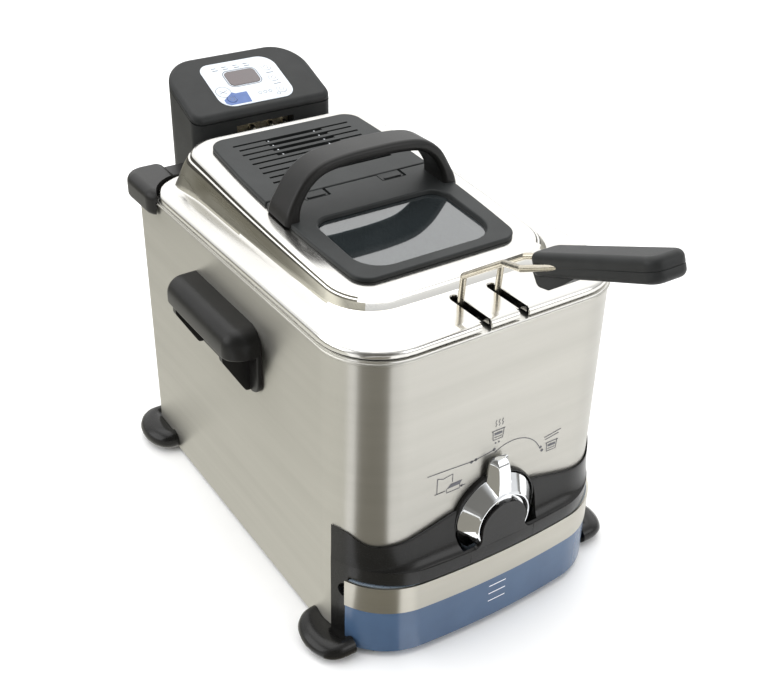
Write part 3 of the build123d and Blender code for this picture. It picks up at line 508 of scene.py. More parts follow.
def add_lid():
    outer = [
        lid_ring(117.6, -173.2, 152.4, 45, 34, 255.9), lid_ring(118.5, -174.1, 153.2, 46, 35, 256.6),
        lid_ring(118.8, -174.4, 153.4, 46, 35, 258.4), lid_ring(118.4, -174.0, 153.1, 46, 35, 260.2),
        lid_ring(117.2, -172.8, 152.6, 45, 34, 261.6), lid_ring(115.2, -170.8, 152.1, 43, 33, 262.4),
        lid_ring(111.0, -166.0, 151.6, 41, 32, 262.8), lid_ring(105.0, -155.0, 151.2, 39, 30, 263.0),
        lid_ring(99.5, -139.0, 150.9, 38, 29, 263.2, bow=0.8, flare=3),
        lid_ring(96.0, -132.6, 150.6, 37, 28, 263.6, bow=1.6, flare=6),
        lid_ring(93.8, -129.6, 150.3, 36, 28, 263.2, 0.05, bow=2.4, flare=7.5),
        lid_ring(92.4, -127.9, 150.0, 35, 28, 263.0, 0.14, bow=2.8, flare=7.5),
        lid_ring(91.4, -126.8, 149.6, 34, 28, 263.0, 0.30, bow=3, flare=6.5),
        lid_ring(90.2, -125.3, 148.8, 34, 27, 263.0, 0.52, bow=3, flare=4.2),
        lid_ring(89.2, -123.9, 147.8, 33, 27, 263.0, 0.70, bow=3, flare=2.2),
        lid_ring(88.5, -122.9, 147.0, 33, 27, 263.0, 0.80, bow=3, flare=1.2),
        lid_ring(87.2, -121.6, 146.2, 32, 26, 263.0, 0.815, bow=3, flare=0.8),
        lid_ring(86.9, -121.2, 145.9, 32, 26, 263.0, 0.87, bow=3, flare=0.6),
        lid_ring(86.4, -120.6, 145.6, 32, 26, 263.0, 0.92, bow=3, flare=0.4),
        lid_ring(85.4, -119.6, 145.0, 31, 26, 263.0, 0.965, bow=3),
        lid_ring(83.9, -118.1, 143.9, 30, 25, 263.0, 0.99, bow=3),
        lid_ring(81.5, -115.6, 142.0, 28, 24, 263.0, 1.0, bow=3.2),
        lid_ring(75.0, -108.5, 137.0, 22, 18, 263.0, 1.0, -0.1, bow=3.6),
        lid_ring(66.2, -99.2, 128.2, 15, 11, 263.0, 1.0, -0.3, bow=1),
        lid_ring(65.2, -98.2, 127.2, 14, 10, 263.0, 1.0, -0.9),
        lid_ring(65.4, -98.4, 127.4, 14, 10, 263.0, 1.0, -1.6),
        lid_ring(75.0, -108.5, 137.0, 22, 18, 263.0, 1.0, -1.5, bow=3.6),
        lid_ring(83.0, -117.2, 143.0, 29, 24, 263.0, 0.985, -1.4, bow=3),
        lid_ring(86.6, -121.4, 145.4, 31, 25, 263.0, 0.77, -0.6, bow=3),
        lid_ring(90.2, -125.8, 148.6, 33, 26, 263.0, 0.25, -0.6, bow=3, flare=5),
        lid_ring(93.0, -129.2, 149.4, 35, 27, 261.9, 0.03, bow=2.4, flare=6),
        lid_ring(100.0, -140.0, 150.0, 38, 28, 262.0, bow=0.8, flare=2),
        lid_ring(114.0, -169.5, 150.8, 43, 32, 261.5), lid_ring(116.6, -172.2, 151.6, 44, 33, 260.2),
        lid_ring(117.3, -172.9, 152.1, 45, 34, 258.0),
    ]
    parts = [skin(outer, close=True)]
    skirt = [lid_ring(h, f, r, rf, rr, z) for h, f, r, rf, rr, z in (
        (105.8, -160.8, 140.8, 34, 26, 262.2), (105.8, -160.8, 140.8, 34, 26, 249.0),
        (105.3, -160.3, 140.3, 33.5, 25.5, 248.2), (104.8, -159.8, 139.8, 33, 25, 249.0),
        (104.8, -159.8, 139.8, 33, 25, 262.2))]
    shell = solid("lid_shell", parts, 30)
    shell = combine(shell, solid("cut", [skin([rectangle_loop(-33, 33, 125, 172, z) for z in (240,
        274)])]), sharp=30)
    for side in (-1, 1):
        mouth = rounded([(side * SLOT_X - 4.2, -190), (side * SLOT_X + 4.2, -190), (side * SLOT_X + 4.2,
            -134),
                         (side * SLOT_X - 4.2, -134)], [0.5, 0.5, 4.1, 4.1], 6)
        shell = combine(shell, solid("cut", [slab(mouth, 240, 275)]), sharp=30)
    place(shell, "lid", lid_steel, ["lid_shell"])
    shell.data.materials.append(painted_reflection_steel)
    shell.data.materials.append(painted_dark_reflection_steel)
    # Faces on the plateau's left and right walls get painted reflection: tan low on the wall, near-black towards its
    # top.
    for face in shell.data.polygons:
        spot = face.center
        y = (spot.y - at(0, 0, 0).y) * 1000
        share = (spot.z * 1000 - 263.0) / (SLOPE_Z + SLOPE * y - 263.0)
        level = math.hypot(face.normal.x, face.normal.y)
        if -0.1 < face.normal.z < 0.93 and abs(face.normal.x) > 0.62 * level and 0.02 < share < 0.9 and y > -128:
            face.material_index = 1 if share < 0.74 else 2
    inner = solid("lid_skirt", [skin(skirt, close=True)])
    for side in (-1, 1):
        gap = rectangle(side * SLOT_X - 4.6, side * SLOT_X + 4.6, -190, -134, 0.5, 1)
        inner = combine(inner, solid("cut", [slab(gap, 240, 275)]))
    inner = combine(inner, solid("cut", [skin([rectangle_loop(-33, 33, 125, 172, z) for z in (240, 274)])]))
    place(inner, "lid", lid_steel, ())
    lips = []
    for side in (-1, 1):
        line = rounded([(side * SLOT_X - 4.4, -171.5), (side * SLOT_X - 4.4, -133.8), (side * SLOT_X + 4.4,
            -133.8),
                        (side * SLOT_X + 4.4, -171.5)], [0.05, 4.3, 4.3, 0.05], 6)
        wall = [[(x, y, 262.9) for x, y in line], [(x, y, 258.2) for x, y in line]]
        thin = [(side * SLOT_X + (x - side * SLOT_X) * 0.82, y - 0.6 if y > -140 else y) for x, y in line]
        wall += [[(x, y, 258.2) for x, y in thin], [(x, y, 262.9) for x, y in thin]]
        lips.append(skin(wall, open_loops=True, caps=False, close=True))
    place(solid("lid_slot_lips", lips), "lid", lid_steel, ())


def rectangle_loop(x0, x1, y0, y1, z):
    return [(x0, y0, z), (x1, y0, z), (x1, y1, z), (x0, y1, z)]


def panel_ring(y0, y1, r0, r1, smaller=0.0):
    """Outline of the lid's plastic panel between two places along it; its sides bow out over its whole length."""
    middle, reach = (PANEL_FRONT + PANEL_REAR) / 2, (PANEL_REAR - PANEL_FRONT) / 2
    loop = ring(PANEL_HALF - smaller, y0 + smaller, y1 - smaller, r0, r1)
    return [(x * (1 + PANEL_BOW / PANEL_HALF * (1 - ((y - middle) / reach) ** 2)), y) for x, y in loop]


def add_lid_panel():
    thick, edge = PANEL_THICK, 1.3
    loops = [panel_ring(PANEL_FRONT, PANEL_SEAM - 0.4, 13, 1.5, 0.0)]
    heights = [0.0]
    for k in range(5):
        a = math.pi / 2 * k / 4
        loops.append(panel_ring(PANEL_FRONT, PANEL_SEAM - 0.4, 13, 1.5, edge * (1 - math.cos(a))))
        heights.append(thick - edge * (1 - math.sin(a)))
    for k in range(5):
        a = math.pi / 2 * k / 4
        loops.append(ring(59.6 - 1.6 * math.sin(a), -94.4 + 1.6 * math.sin(a), -14.6 - 1.6 * math.sin(a),
                          23, 15))
        heights.append(thick - 1.4 * (1 - math.cos(a)))
    loops.append(ring(57.4, -92.2, -16.8, 22, 14))
    heights.append(0.0)
    frame_piece = solid("window_frame", [skin([[slope_point(x, y, h) for x, y in loop]
                                               for loop, h in zip(loops, heights)], close=True)])
    notches = []
    for side in (-1, 1):
        notches.append(slab(rectangle(side * 35 - 11.5, side * 35 + 11.5, 11.0, 27.0, 1.5, 3), 1.5, 9.0,
                            to=slope_point))
    frame_piece = combine(frame_piece, solid("cut", notches))
    place(frame_piece, "lid", panel_plastic, ["window_frame"])

    cover = solid("vent_cover", [slab(panel_ring(PANEL_SEAM + 0.4, PANEL_REAR, 1.5, 13), 0.0, thick, 0, 1.3,
                                      slope_point)])
    rows = []
    for row in range(9):
        y = 45.3 + 8.55 * row
        wide = 55.0 - (1.5 if row % 2 else 0.0)
        loop = rectangle(-wide, wide, y, y + 2.4, 0.5, 2)
        rows.append(slab(loop, -2.0, 9.0, to=slope_point))
        if row > 4:
            rows.append(slab(rectangle(-34 + row, 36 - row, y - 2.4, y + 0.4, 0.3, 2), -2.0, 9.0,
                             to=slope_point))
    for cut in rows:
        cover = combine(cover, solid("cut", [cut]))
    place(cover, "vent_cover", panel_plastic, ["vent_cover"])
    # Two thin ribs in white key plastic paint the glints along the vent cover.
    glint_ribs = []
    for x in (-22.0, 22.0):
        glint_ribs.append(slab(rectangle(x - 0.5, x + 0.5, 42.0, 118.0, 0.1, 1), -0.6, 1.6, to=slope_point))
    place(solid("vent_ribs_painted_glint", glint_ribs), "vent_cover", key_plastic, ())
    catches = []
    for side in (-1, 1):
        catches.append(slab(rectangle(side * 35 - 10, side * 35 + 10, 12.6, 26.0, 1.2, 3), 1.7, 2.7, 0, 0.4,
                            slope_point, 3))
        catches.append(slab(rectangle(side * 35 - 8, side * 35 + 8, 13.4, 16.2, 1.0, 3), 2.4, 3.7, 0, 0.6,
                            slope_point, 3))
    place(solid("vent_catches", catches), "vent_cover", panel_plastic, ())
    pane = solid("window_glass", [slab(ring(59.6, -94.6, -13.4, 24, 16), -4.0, -0.6, 0.4, 0.4, slope_point,
                                       2)])
    place(pane, "lid", glass, ["window_glass"])


def curve_through(points, steps=6):
    """Smooth line through points."""
    p = [Vector(points[0]) * 2 - Vector(points[1])] + [Vector(q) for q in points]
    p.append(p[-1] * 2 - p[-2])
    line = []
    for i in range(1, len(p) - 2):
        for k in range(steps):
            t = k / steps
            line.append(0.5 * (2 * p[i] + (p[i + 1] - p[i - 1]) * t
                               + (2 * p[i - 1] - 5 * p[i] + 4 * p[i + 1] - p[i + 2]) * t * t
                               + (3 * p[i] - p[i - 1] - 3 * p[i + 1] + p[i + 2]) * t ** 3))
    line.append(p[-2])
    return line


def add_lid_handle():
    half_line = [(71.5, 280.5), (69.8, 288.5), (65.2, 298.5), (57.0, 309.5), (44.0, 317.8), (24.0, 320.9),
                 (0.0, 321.5)]
    points = [Vector((x, z)) for x, z in half_line] + [Vector((-x, z)) for x, z in half_line[-2::-1]]
    line = curve_through(points, 7)
    loops = []
    for i, p in enumerate(line):
        along = (line[min(i + 1, len(line) - 1)] - line[max(i - 1, 0)]).normalized()
        across = Vector((-along.y, along.x))
        foot = 1 - smooth((p.y - 280.5) / 17)
        wide, thick = 14.3 + 1.4 * foot, 4.7 + 1.6 * foot
        section = rectangle(-thick, thick, -wide, wide, 3.9, 5)
        loops.append([(p.x + across.x * u, v + 0.5,
                       p.y + across.y * u + SLOPE * v * (1 - smooth((p.y - 283) / 30)))
                      for u, v in section])
    handle = solid("lid_handle", [skin(loops)], 50)
    place(handle, "lid", black_plastic, ["lid_handle"])


# ---- body of the fryer ----------------------------------------------------------------------
def add_housing():
    wall = [(0.0, 3.6), (0.0, 250.6), (0.35, 251.6), (0.9, 252.0), (1.1, 251.6), (1.1, 3.6)]
    loops = [[(x, y, z) for x, y in ring(HALF - d, FRONT + d, REAR - d, R_FRONT - d, R_REAR - d, 0, 0, 24,
                                         8, 8)]
             for d, z in wall]
    shell = solid("outer_housing", [skin(loops, close=True)], 30)
    bay = solid("cut", [skin([rectangle_loop(-200, 200, -200, -142, z) for z in (0, 88)])])
    shell = combine(shell, bay, sharp=30)
    hole = solid("cut", [turned([(6.1, -190), (6.1, -160)], (0, 0, KNOB_Z))])
    shell = combine(shell, hole, sharp=30)
    place(shell, "chassis", housing_steel, ["outer_housing"])
    low, high, out = 251.9, 254.3, 1.4
    section = [(out - 1.2 + 1.2 * math.cos(a), (low + high) / 2 + (high - low) / 2 * math.sin(a))
               for a in (math.pi * (k / 6 - 0.5) for k in range(7))] + [(-8.0, high), (-8.0, low)]
    rim = [[(x, y, z) for x, y in ring(HALF + d, FRONT - d, REAR + d, R_FRONT + d, R_REAR + d, 0, 0, 24, 8,
                                       8)]
           for d, z in section]
    place(solid("housing_collar", [skin(rim, close=True)], 50), "chassis", housing_steel, ["housing_collar"])


def add_rear_guide():
    caps = []
    for side in (-1, 1):
        x0, x1 = sorted((side * 88.0, side * 125.5))
        caps.append(slab(rounded([(x0, 124), (x1, 124), (x1, 190), (x0, 190)],
                                 [9, 15, 17, 9] if side > 0 else [15, 9, 9, 17], 8), 242.0, 263.4, 4.0, 8.0))
    guide = solid("rear_guide", caps, 50)
    guide = combine(guide, solid("bridge", [slab(rectangle(-92, 92, 156, 177, 2, 3), 254.4, 262.0, 0,
                                                 1.2)]), "UNION", 50)
    body = ring(HALF + 1.6, FRONT - 2, REAR + 1.8, R_FRONT + 1.7, R_REAR + 1.2)
    guide = combine(guide, solid("cut", [slab(body, 200, 254.5)]), sharp=50)
    room = ring(HALF + 1.5, FRONT - 2, 155.6, R_FRONT + 1, 37)
    guide = combine(guide, solid("cut", [slab(room, 253.6, 280)]), sharp=50)
    guide = combine(guide, solid("cut", [slab(rectangle(-41, 41, 161.5, 171.8, 0.5, 1), 200, 300)]), sharp=50)
    place(guide, "chassis", black_plastic, ["rear_guide"])


def add_feet():
    stack = [(0.08, 134.0, 0.78), (0.15, 137.6, 0.87), (0.32, 140.6, 0.96), (0.52, 141.4, 1.0), (0.72,
        139.8, 0.98),
             (0.88, 136.0, 0.91), (0.98, 130.6, 0.8), (1.0, 125.6, 0.7), (0.93, 121.6, 0.62), (0.84, 118.9,
                 0.58)]
    for side, hand in ((-1, "left"), (1, "right")):
        for end, y, wide, tall in (("front", -142.0, 26.5, 15.6), ("rear", 157.0, 28.5, 19.0)):
            loops = []
            for share, out, spread in stack:
                loop = []
                for k in range(25):
                    a = math.pi * (k / 24 - 0.5)
                    loop.append((side * (117.9 + (out - 117.9) * abs(math.cos(a)) ** 0.75),
                                 y + wide * spread * math.sin(a), share * tall))
                loop.append((side * 112.0, y + wide * spread, share * tall))
                loop.append((side * 112.0, y - wide * spread, share * tall))
                loops.append(loop)
            x0, x1 = sorted((side * 96, side * 121))
            plate = slab(rectangle(x0, x1, y - 17, y + 17, 4, 4), 1.5, 3.0)
            name = f"foot_{end}_{hand}"
            place(solid(name, [skin(loops), plate], 50), "chassis", foot_plastic, [name])


def add_side_handles():
    """Scooped handles: a quarter-round bar with a bulbous front end, two cheeks below it and a plate on the wall."""
    front, rear = -47.0, 62.5
    profile = [(118.8, 199.5), (141.5, 199.5), (143.6, 200.2), (144.4, 202.0), (144.4, 208.0)]
    profile += [(131.0 + 13.4 * math.cos(a),
                 208.5 + 13.6 * math.sin(a)) for a in (math.pi * k / 20 for k in range(1, 11))]
    profile += [(125.0, 222.2), (118.8, 222.3)]
    for side, hand in ((-1, "left"), (1, "right")):
        loops = []
        for k in range(15):
            loops.append((front + 14.0 * (1 - math.cos(math.pi * k / 28)), math.sin(math.pi * k / 28)))
        loops += [(y, 1.0) for y in (-10.0, 20.0, 45.0, 59.0)] + [(61.6, 0.97), (62.5, 0.9)]
        bar = skin([[(side * (118.8 + (x - 118.8) * (0.3 + 0.7 * s)), y,
                      201.5 + (z - 201.5) * (0.35 + 0.65 * s))
                     for x, z in profile] for y, s in loops])
        cheeks = []
        for y0, y1 in ((-33.0, -28.0), (48.0, 53.0)):
            shape = rounded([(118.8, 202), (118.8, 165.0), (125.6, 165.0), (143.6, 196), (143.6, 202)],
                            [0.5, 1.0, 4.0, 5, 1], 5)
            cheeks.append(skin([[(side * x, y, z) for x, z in shape] for y in (y0, y1)]))
        plate = [skin([[(side * x, y, z) for y, z in rectangle(front + 0.5 + d, rear - d, 164.5 + d, 219,
                                                               12, 6)]
                       for x, d in ((118.7, 0.0), (121.2, 0.0), (122.0, 0.4), (122.3, 1.2))])]
        name = f"side_handle_{hand}"
        place(solid(name, [bar] + cheeks + plate, 50), "chassis", black_plastic, [name])


def front_path(half, front, radius, bow):
    """Line round the front from the left pillar to the right one."""
    def angle(y):
        return 180 - math.degrees(math.asin((y - front - radius) / radius))

    back, pillar = angle(-142.0), angle(-155.0)
    turns = [back, (back + pillar) / 2, pillar,
             pillar] + [pillar + (270 - pillar) * k / 14 for k in range(1, 14)]
    line = [(-half + radius + radius * math.cos(math.radians(a)),
             front + radius + radius * math.sin(math.radians(a)))
            for a in turns]
    reach = half - radius
    left = line + [(-reach + reach * k / 14, front) for k in range(14)]
    line = left + [(0.0, front)] + [(-x, y) for x, y in reversed(left)]
    return [(x, y - bow * (1 - (x / half) ** 2) * smooth((-142 - y) / 20)) for x, y in line]


def hood_point(x, z, out=0.0):
    """A point on the bowed front of the trim."""
    return (x, -192.05 + 10.4 * (x / 121.2) ** 2 - out, z)


def add_front_trim():
    outer = front_path(121.2, -181.6, 58.0, 10.4)
    wall = front_path(119.5, -176.2, 47.0, 1.2)
    inner = front_path(112.4, -173.0, 49.0, 9.4)
    count = len(outer)
    top, bottom = [], []
    for i, (x, y) in enumerate(wall):
        side_drop = smooth((-150 - y) / 20)
        top.append(112.5 - 11.0 * side_drop + 11.0 * min(1.0, max(0.0, (96 - abs(x)) / 58)) ** 1.5)
        bottom.append(3.2 if i <= 2 or i >= count - 3 else 69.2)

    def mixed(share, height):
        loop = []
        for i in range(count):
            p = Vector(wall[i]).lerp(Vector(outer[i]), share)
            loop.append((p.x, p.y, height(i)))
        return loop

    def cove(fall):
        return lambda i: 81.5 + (top[i] - 81.5) * fall

    falls = [(0.0, 1.0), (0.05, 0.985), (0.1, 0.9), (0.16, 0.74), (0.23, 0.56), (0.32, 0.39), (0.43, 0.25),
             (0.56, 0.14), (0.7, 0.065), (0.83, 0.02), (0.93, 0.0), (0.97, 0.006), (1.0, -0.02)]
    loops = [mixed(share, cove(fall)) for share, fall in falls]
    loops.append(mixed(1.0, lambda i: bottom[i] + 0.9))
    loops.append([(p[0] * 0.996, p[1] + 0.7, b) for p, b in zip(mixed(1.0, lambda i: 0), bottom)])
    loops.append([(x, y, b) for (x, y), b in zip(inner, bottom)])
    loops.append([(x, y, 86.0) for x, y in inner])
    loops.append([(x, y, 88.5) for x, y in wall])
    points, faces = skin(loops, close=True, caps=False, open_loops=True)
    rows = len(loops)
    faces.append(tuple(r * count for r in range(rows)))
    faces.append(tuple(r * count + count - 1 for r in range(rows))[::-1])
    trim = solid("front_trim", [(points, faces)], 40)
    well = solid("cut", [turned([(37.4, -188.7), (37.4, -150)], (0, 0, KNOB_Z), 64)])
    trim = combine(trim, well, sharp=40)
    for side in (-1, 1):
        notch = solid("cut", [skin([[(x, -155.0 + 7 * math.cos(a), 56.0 + 7 * math.sin(a))
                                     for a in (2 * math.pi * k / 24 for k in range(24))]
                                    for x in sorted((side * 95, side * 140))])])
        trim = combine(trim, notch, sharp=40)
    place(trim, "chassis", satin_plastic, ["front_trim"])
    hood = rounded([(-29.5, 70.2), (-29.5, 81.5), (-20, 81.5), (-20, 115), (20, 115), (20, 81.5), (29.5,
        81.5),
                    (29.5, 70.2)], [0.1, 0.1, 7, 19.9, 19.9, 7, 0.1, 0.1], 9)
    plate = slab(hood, -3.4, 0.0, 0.0, 0.5, to=hood_point)
    place(solid("trim_hood", [plate], 40), "chassis", satin_plastic, ())
    bezel = [(6.2, -177.2), (34.8, -177.2), (35.2, -177.8), (35.4, -179.2), (35.9, -179.9), (36.6, -179.8),
             (37.1, -178.9), (37.3, -176.8), (37.3, -175.2), (6.2, -175.2)]
    loops = turned(bezel, (0, 0, KNOB_Z), 64)
    size = 64
    faces = list(loops[1][:-2]) + [(len(bezel) * size - size + j, len(bezel) * size - size + (j + 1) % size,
                                    (j + 1) % size, j) for j in range(size)]
    seat = solid("knob_bezel", [(loops[0], faces)], 40)
    seat = combine(seat, solid("cut", [skin([rectangle_loop(-60, 60, -200, -150, z) for z in (0, 76.0)])]),
                   sharp=40)
    place(seat, "chassis", satin_plastic, ["knob_bezel"])


def add_knob():
    skirt = [(33.8, -178.2), (34.4, -178.6), (34.4, -179.3), (34.0, -180.0), (24.6, -188.9), (24.0, -190.0),
             (23.3, -190.7), (22.5, -190.7), (22.0, -190.0), (21.8, -188.0)]
    drum = turned(skirt, (0, 0, KNOB_Z), 72)
    sections = [(100.0, 13.6, 6.2, -190.0), (112.0, 12.4, 5.9, -189.9), (122.0, 11.2, 5.6, -189.3),
                (131.0, 10.2, 5.2, -188.4), (138.0, 9.5, 5.0, -187.3), (143.5, 8.9, 4.6, -185.9),
                (146.6, 8.0, 3.9, -184.1), (148.2, 6.2, 2.8, -182.2)]
    loops = []
    for z, back, face, y in sections:
        loops.append([(back, -178.6, z), (back, -180.0, z), (face + 0.8, y + 0.6, z), (face, y, z), (-face,
            y, z),
                      (-face - 0.8, y + 0.6, z), (-back, -180.0, z), (-back, -178.6, z)])
    place(solid("selector_knob", [drum, skin(loops)], 24), "selector", chrome, ["selector_knob"])
    face = turned([(22.1, -186.0), (22.1, -188.6), (21.2, -189.2), (20.4, -188.0), (19.4, -187.4), (2.0,
        -187.4)],
                  (0, 0, KNOB_Z), 64)
    place(solid("knob_face", [face], 40), "selector", satin_plastic, ())


# ---- control unit ---------------------------------------------------------------------------
def add_control():
    levels = [(1.4, -6.0), (0.7, -5.9), (0.1, -5.4), (0.0, -4.6)]
    for k in range(7):
        a = math.pi / 2 * k / 6
        levels.append((4.4 * (1 - math.cos(a)), -4.4 + 4.4 * math.sin(a)))
    loops = []
    for d, h in levels:
        loop = ring(67.8 - d, 159.8 + d, 232.2 - d, max(9.5 - d, 1), max(31 - d, 1), 0, 0, 12, 8, 8)
        loops.append([(x, y, TOP_FRONT_Z + (y - TOP_FRONT_Y) * TOP_TILT + h) for x, y in loop])
    cover = solid("control_cover", [skin(loops)], 40)
    for x, y in KEYS.values():
        cover = combine(cover, solid("cut", [slab(circle(4.5, 32, x, y), -9, 5, to=top_point)]), sharp=40)
    place(cover, "control_unit", case_plastic, ["control_cover"])
    levels = [(0.9, 297.6), (0.9, 298.4)]
    seam = [[(x, y, TOP_FRONT_Z - 6.8 + (y - TOP_FRONT_Y) * TOP_TILT + h) for x, y in
             ring(66.4, 161.2, 230.8, 8.5, 30, 0, 0, 12, 8, 8)] for h in (0, 1.0)]
    # A near-black ring under the cover's edge paints the shade in the gap between cover and case.
    place(solid("control_seam", [skin(seam)], 40), "control_unit", painted_shade_recess, ())
    film = rectangle(-36, 36, 7, 64, [13, 12, 15, 10], 9)
    sheet = solid("control_overlay", [slab(film, -0.1, 0.45, 0, 0.25, top_point, 3)], 40)
    for x, y in KEYS.values():
        sheet = combine(sheet, solid("cut", [slab(circle(4.5, 32, x, y), -3, 5, to=top_point)]), sharp=40)
    place(sheet, "control_unit", overlay_film, ["control_overlay"])
    lens = rectangle(-17, 13, 31.5, 50.5, 4.5, 7)
    place(solid("display_lens", [slab(lens, 0.2, 0.9, 0, 0.35, top_point, 3)], 40), "control_unit",
          display_red,
          ["display_lens"])
    marks = [ribbon(inset(lens, -1.3), 0.8, top_point, 0.5, True)]
    for row, y in enumerate((54.5, 57.5)):
        for x in (-22, -12, -1, 9):
            marks.append(patch(rectangle(x - 2.8, x + 2.8 - row, y - 0.45, y + 0.45, 0.2, 1), top_point, 0.5))
    for x, y in ((20, 12.5), (4, 17.5), (9, 17.5), (14, 17.5)):
        marks.append(ribbon(circle(1.5, 14, x, y), 0.45, top_point, 0.5, True))
    for x, y in ((25, 40.5), (25, 25)):
        marks.append(patch(rectangle(x - 3.6, x + 3.6, y - 0.4, y + 0.4, 0.2, 1), top_point, 0.5))
    marks.append(ribbon(circle(6.8, 28, -27.5, 26.5), 0.5, top_point, 0.5, True))
    marks.append(ribbon([(-31.5, 25.0), (-23.5, 28.0)], 0.5, top_point, 0.5))
    marks.append(ribbon([(-30.5, 29.0), (-25.0, 23.5)], 0.5, top_point, 0.5))
    place(solid("control_marks", marks), "control_unit", print_light, ())
    flag = [(-28, 9.0), (-8.0, 8.8), (-7.0, 22.5), (-18.0, 22.5), (-20.5, 24.6), (-31.5, 16.5), (-31.5, 12.0)]
    zone = solid("control_zone", [slab(rounded(flag, 0.8, 3), 0.3, 0.55, to=top_point)])
    zone = combine(zone, solid("cut", [slab(circle(4.5, 32, *KEYS["set"]), -3, 5, to=top_point)]))
    place(zone, "control_unit", print_blue, ())
    for name, (x, y) in KEYS.items():
        cap = slab(circle(4.2, 36, x, y), -4.5, 0.9, 0, 0.5, top_point, 3)
        node = f"key_{name}"
        place(solid(node, [cap], 40), node, print_blue if name == "set" else key_plastic, [node])
        sign = [ribbon(circle(2.0, 20, x, y), 0.5, top_point, 0.95, True)]
        place(solid(f"{node}_mark", sign), node, print_light, ())


KEYS = {"power": (25.0, 17.0), "timer": (25.0, 33.0), "raise": (25.0, 48.0), "set": (-24.0, 16.0)}


# ---- basket handle --------------------------------------------------------------------------
def add_grip():
    top = [(-14, -108), (14, -108), (14, 0), (-14, 0)]
    for name, sign, thick, radius in (("grip_upper", 1, 8.2, 4.6), ("grip_lower", -1, 7.6, 4.2)):
        levels = [(0.35, 0.12), (0.0, 0.5)]
        levels += [(radius * (1 - math.cos(math.pi / 2 * k / 6)),
                    thick - radius + radius * math.sin(math.pi / 2 * k / 6))
                   for k in range(7)]
        plan = rounded(top, [8.5, 8.5, 7, 7], 8)
        loops = []
        for d, h in levels:
            loop = inset(plan, d) if d else plan
            loops.append([grip_point(x * (1 - 0.10 * smooth((y + 40) / 40)), y, sign * h) for x, y in loop])
        parts = [skin(loops)]
        half = solid(name, parts, 45)
        if sign < 0:
            side = rounded([(0, -2), (-2.5, -13.5), (-12.5, -15.6), (-24, -12.5), (-44, -5), (-44, -1)],
                           [1, 4, 4.5, 8, 3, 0.5], 6)
            heel = skin([[grip_point(x * k, y, z * (1 if k > 0.93 else 1) - 0.0) for y, z in side]
                         for x, k in ((-10.5, 1.0), (-7.0, 1.0), (7.0, 1.0), (10.5, 1.0))])
            half = combine(half, solid("add", [heel]), "UNION", 45)
        place(half, "basket", case_plastic, [name])
    # A near-black slab between the two halves paints the shade in the grip's seam.
    seam = rounded([(-13.2, -107.2), (13.2, -107.2), (13.0, -1.0), (-13.0, -1.0)], [8, 8, 6, 6], 8)
    core = slab(seam, -0.6, 0.6, to=grip_point)
    place(solid("grip_seam", [core]), "basket", painted_shade_recess, ())


def add_wires():
    turn = math.radians(GRIP_TILT)
    parts = []
    for side in (-1, 1):
        def on_axis(along):
            return (side * 8.5, GRIP_START[1] - along * math.cos(turn),
                    GRIP_START[2] + along * math.sin(turn))
        line = bent([(side * SLOT_X, -139, 199), (side * SLOT_X, -139, 289), (side * SLOT_X, -178, 305),
                     on_axis(-5),
                     on_axis(40)], 8.0, 10)
        parts.append(tube(line, 2.3, 18))
    place(solid("handle_wires", parts, 50), "basket", rod_steel, ["handle_wires"])


# ---- printed marks and the oil box ----------------------------------------------------------
def add_prints():
    """A generic picture of the selector's three places: draining, frying and storing."""
    lift = 0.16
    lines = [ribbon(arc_line(15.0, 124.0, 30.0, 122.0, 28.0), 0.7, facing_front, lift),
             ribbon([(-60.0, 152.0), (-45.0, 151.2), (-19.8, 149.7), (-2.0, 152.2)], 0.7, facing_front, lift)]
    for x, z in ((-21.6, 149.4), (-17.8, 150.0), (-1.5, 152.6), (43.2, 136.5), (45.0, 133.0)):
        lines.append(patch(circle(1.3, 18, x, z), facing_front, lift))
    for x, z in ((1.0, 164.5), (54.0, 133.5)):
        pot = [(x - 5, z + 4.5), (x - 4.3, z - 3.5), (x + 4.3, z - 3.5), (x + 5, z + 4.5)]
        lines.append(ribbon(pot, 0.7, facing_front, lift))
        lines.append(ribbon([(x - 6.0, z + 4.5), (x + 6.0, z + 4.5)], 0.8, facing_front, lift))
        lines.append(patch(rectangle(x - 3.6, x + 3.6, z + 0.4, z + 2.6, 0.5, 2), facing_front, lift))
        lines.append(ribbon([(x - 3.4, z - 1.4), (x + 3.4, z - 1.4)], 0.6, facing_front, lift))
    for x in (-2.0, 1.0, 4.0):
        lines.append(ribbon([(x, 172.5), (x + 0.9, 174.3), (x - 0.2, 176.0), (x + 0.7, 178.0)], 0.6,
                            facing_front, lift))
    for x in (-0.8, 2.2):
        lines.append(patch(circle(0.8, 14, x, 158.0), facing_front, lift))
    tank = [(-51.0, 146.5), (-51.0, 133.0), (-43.5, 133.0)]
    lines += [ribbon(line, 0.7, facing_front, lift) for line in (
        tank, [(-51.0, 146.5), (-46.0, 144.5), (-37.7, 145.8), (-37.7, 138.8)], [(-53.0, 133.0), (-45.0,
            133.0)],
        [(-42.5, 134.0), (-42.5, 130.5), (-31.0, 130.5), (-31.0, 134.0)], [(-29.8, 131.8), (-26.0, 131.8)],
        [(46.0, 144.0), (62.0, 146.5)], [(47.0, 141.6), (60.0, 143.6)])]
    lines.append(patch([(-42.5, 134.0), (-31.0, 134.0), (-29.0, 137.4), (-39.0, 137.4)], facing_front, lift))
    lines.append(patch([(-28.6, 133.2), (-28.6, 130.4), (-31.0, 131.8)], facing_front, lift))
    place(solid("dial_print", lines), "chassis", print_grey, ())


def box_face(x, z, out=0.0):
    """A point on the bowed front of the oil box."""
    return (x, -192.0 + 10.4 * (x / 121.2) ** 2 + 0.8 - out, z)


def add_box_marks():
    marks = []
    for i, z in enumerate((37.0, 29.5, 22.0)):
        marks.append(ribbon([(-9.0 + x * 2.0, z) for x in range(9)], 0.9, lambda x, z, o: box_face(x, z,
            0.12), 0.1))
    place(solid("level_marks", marks), "oil_box", print_white, ())


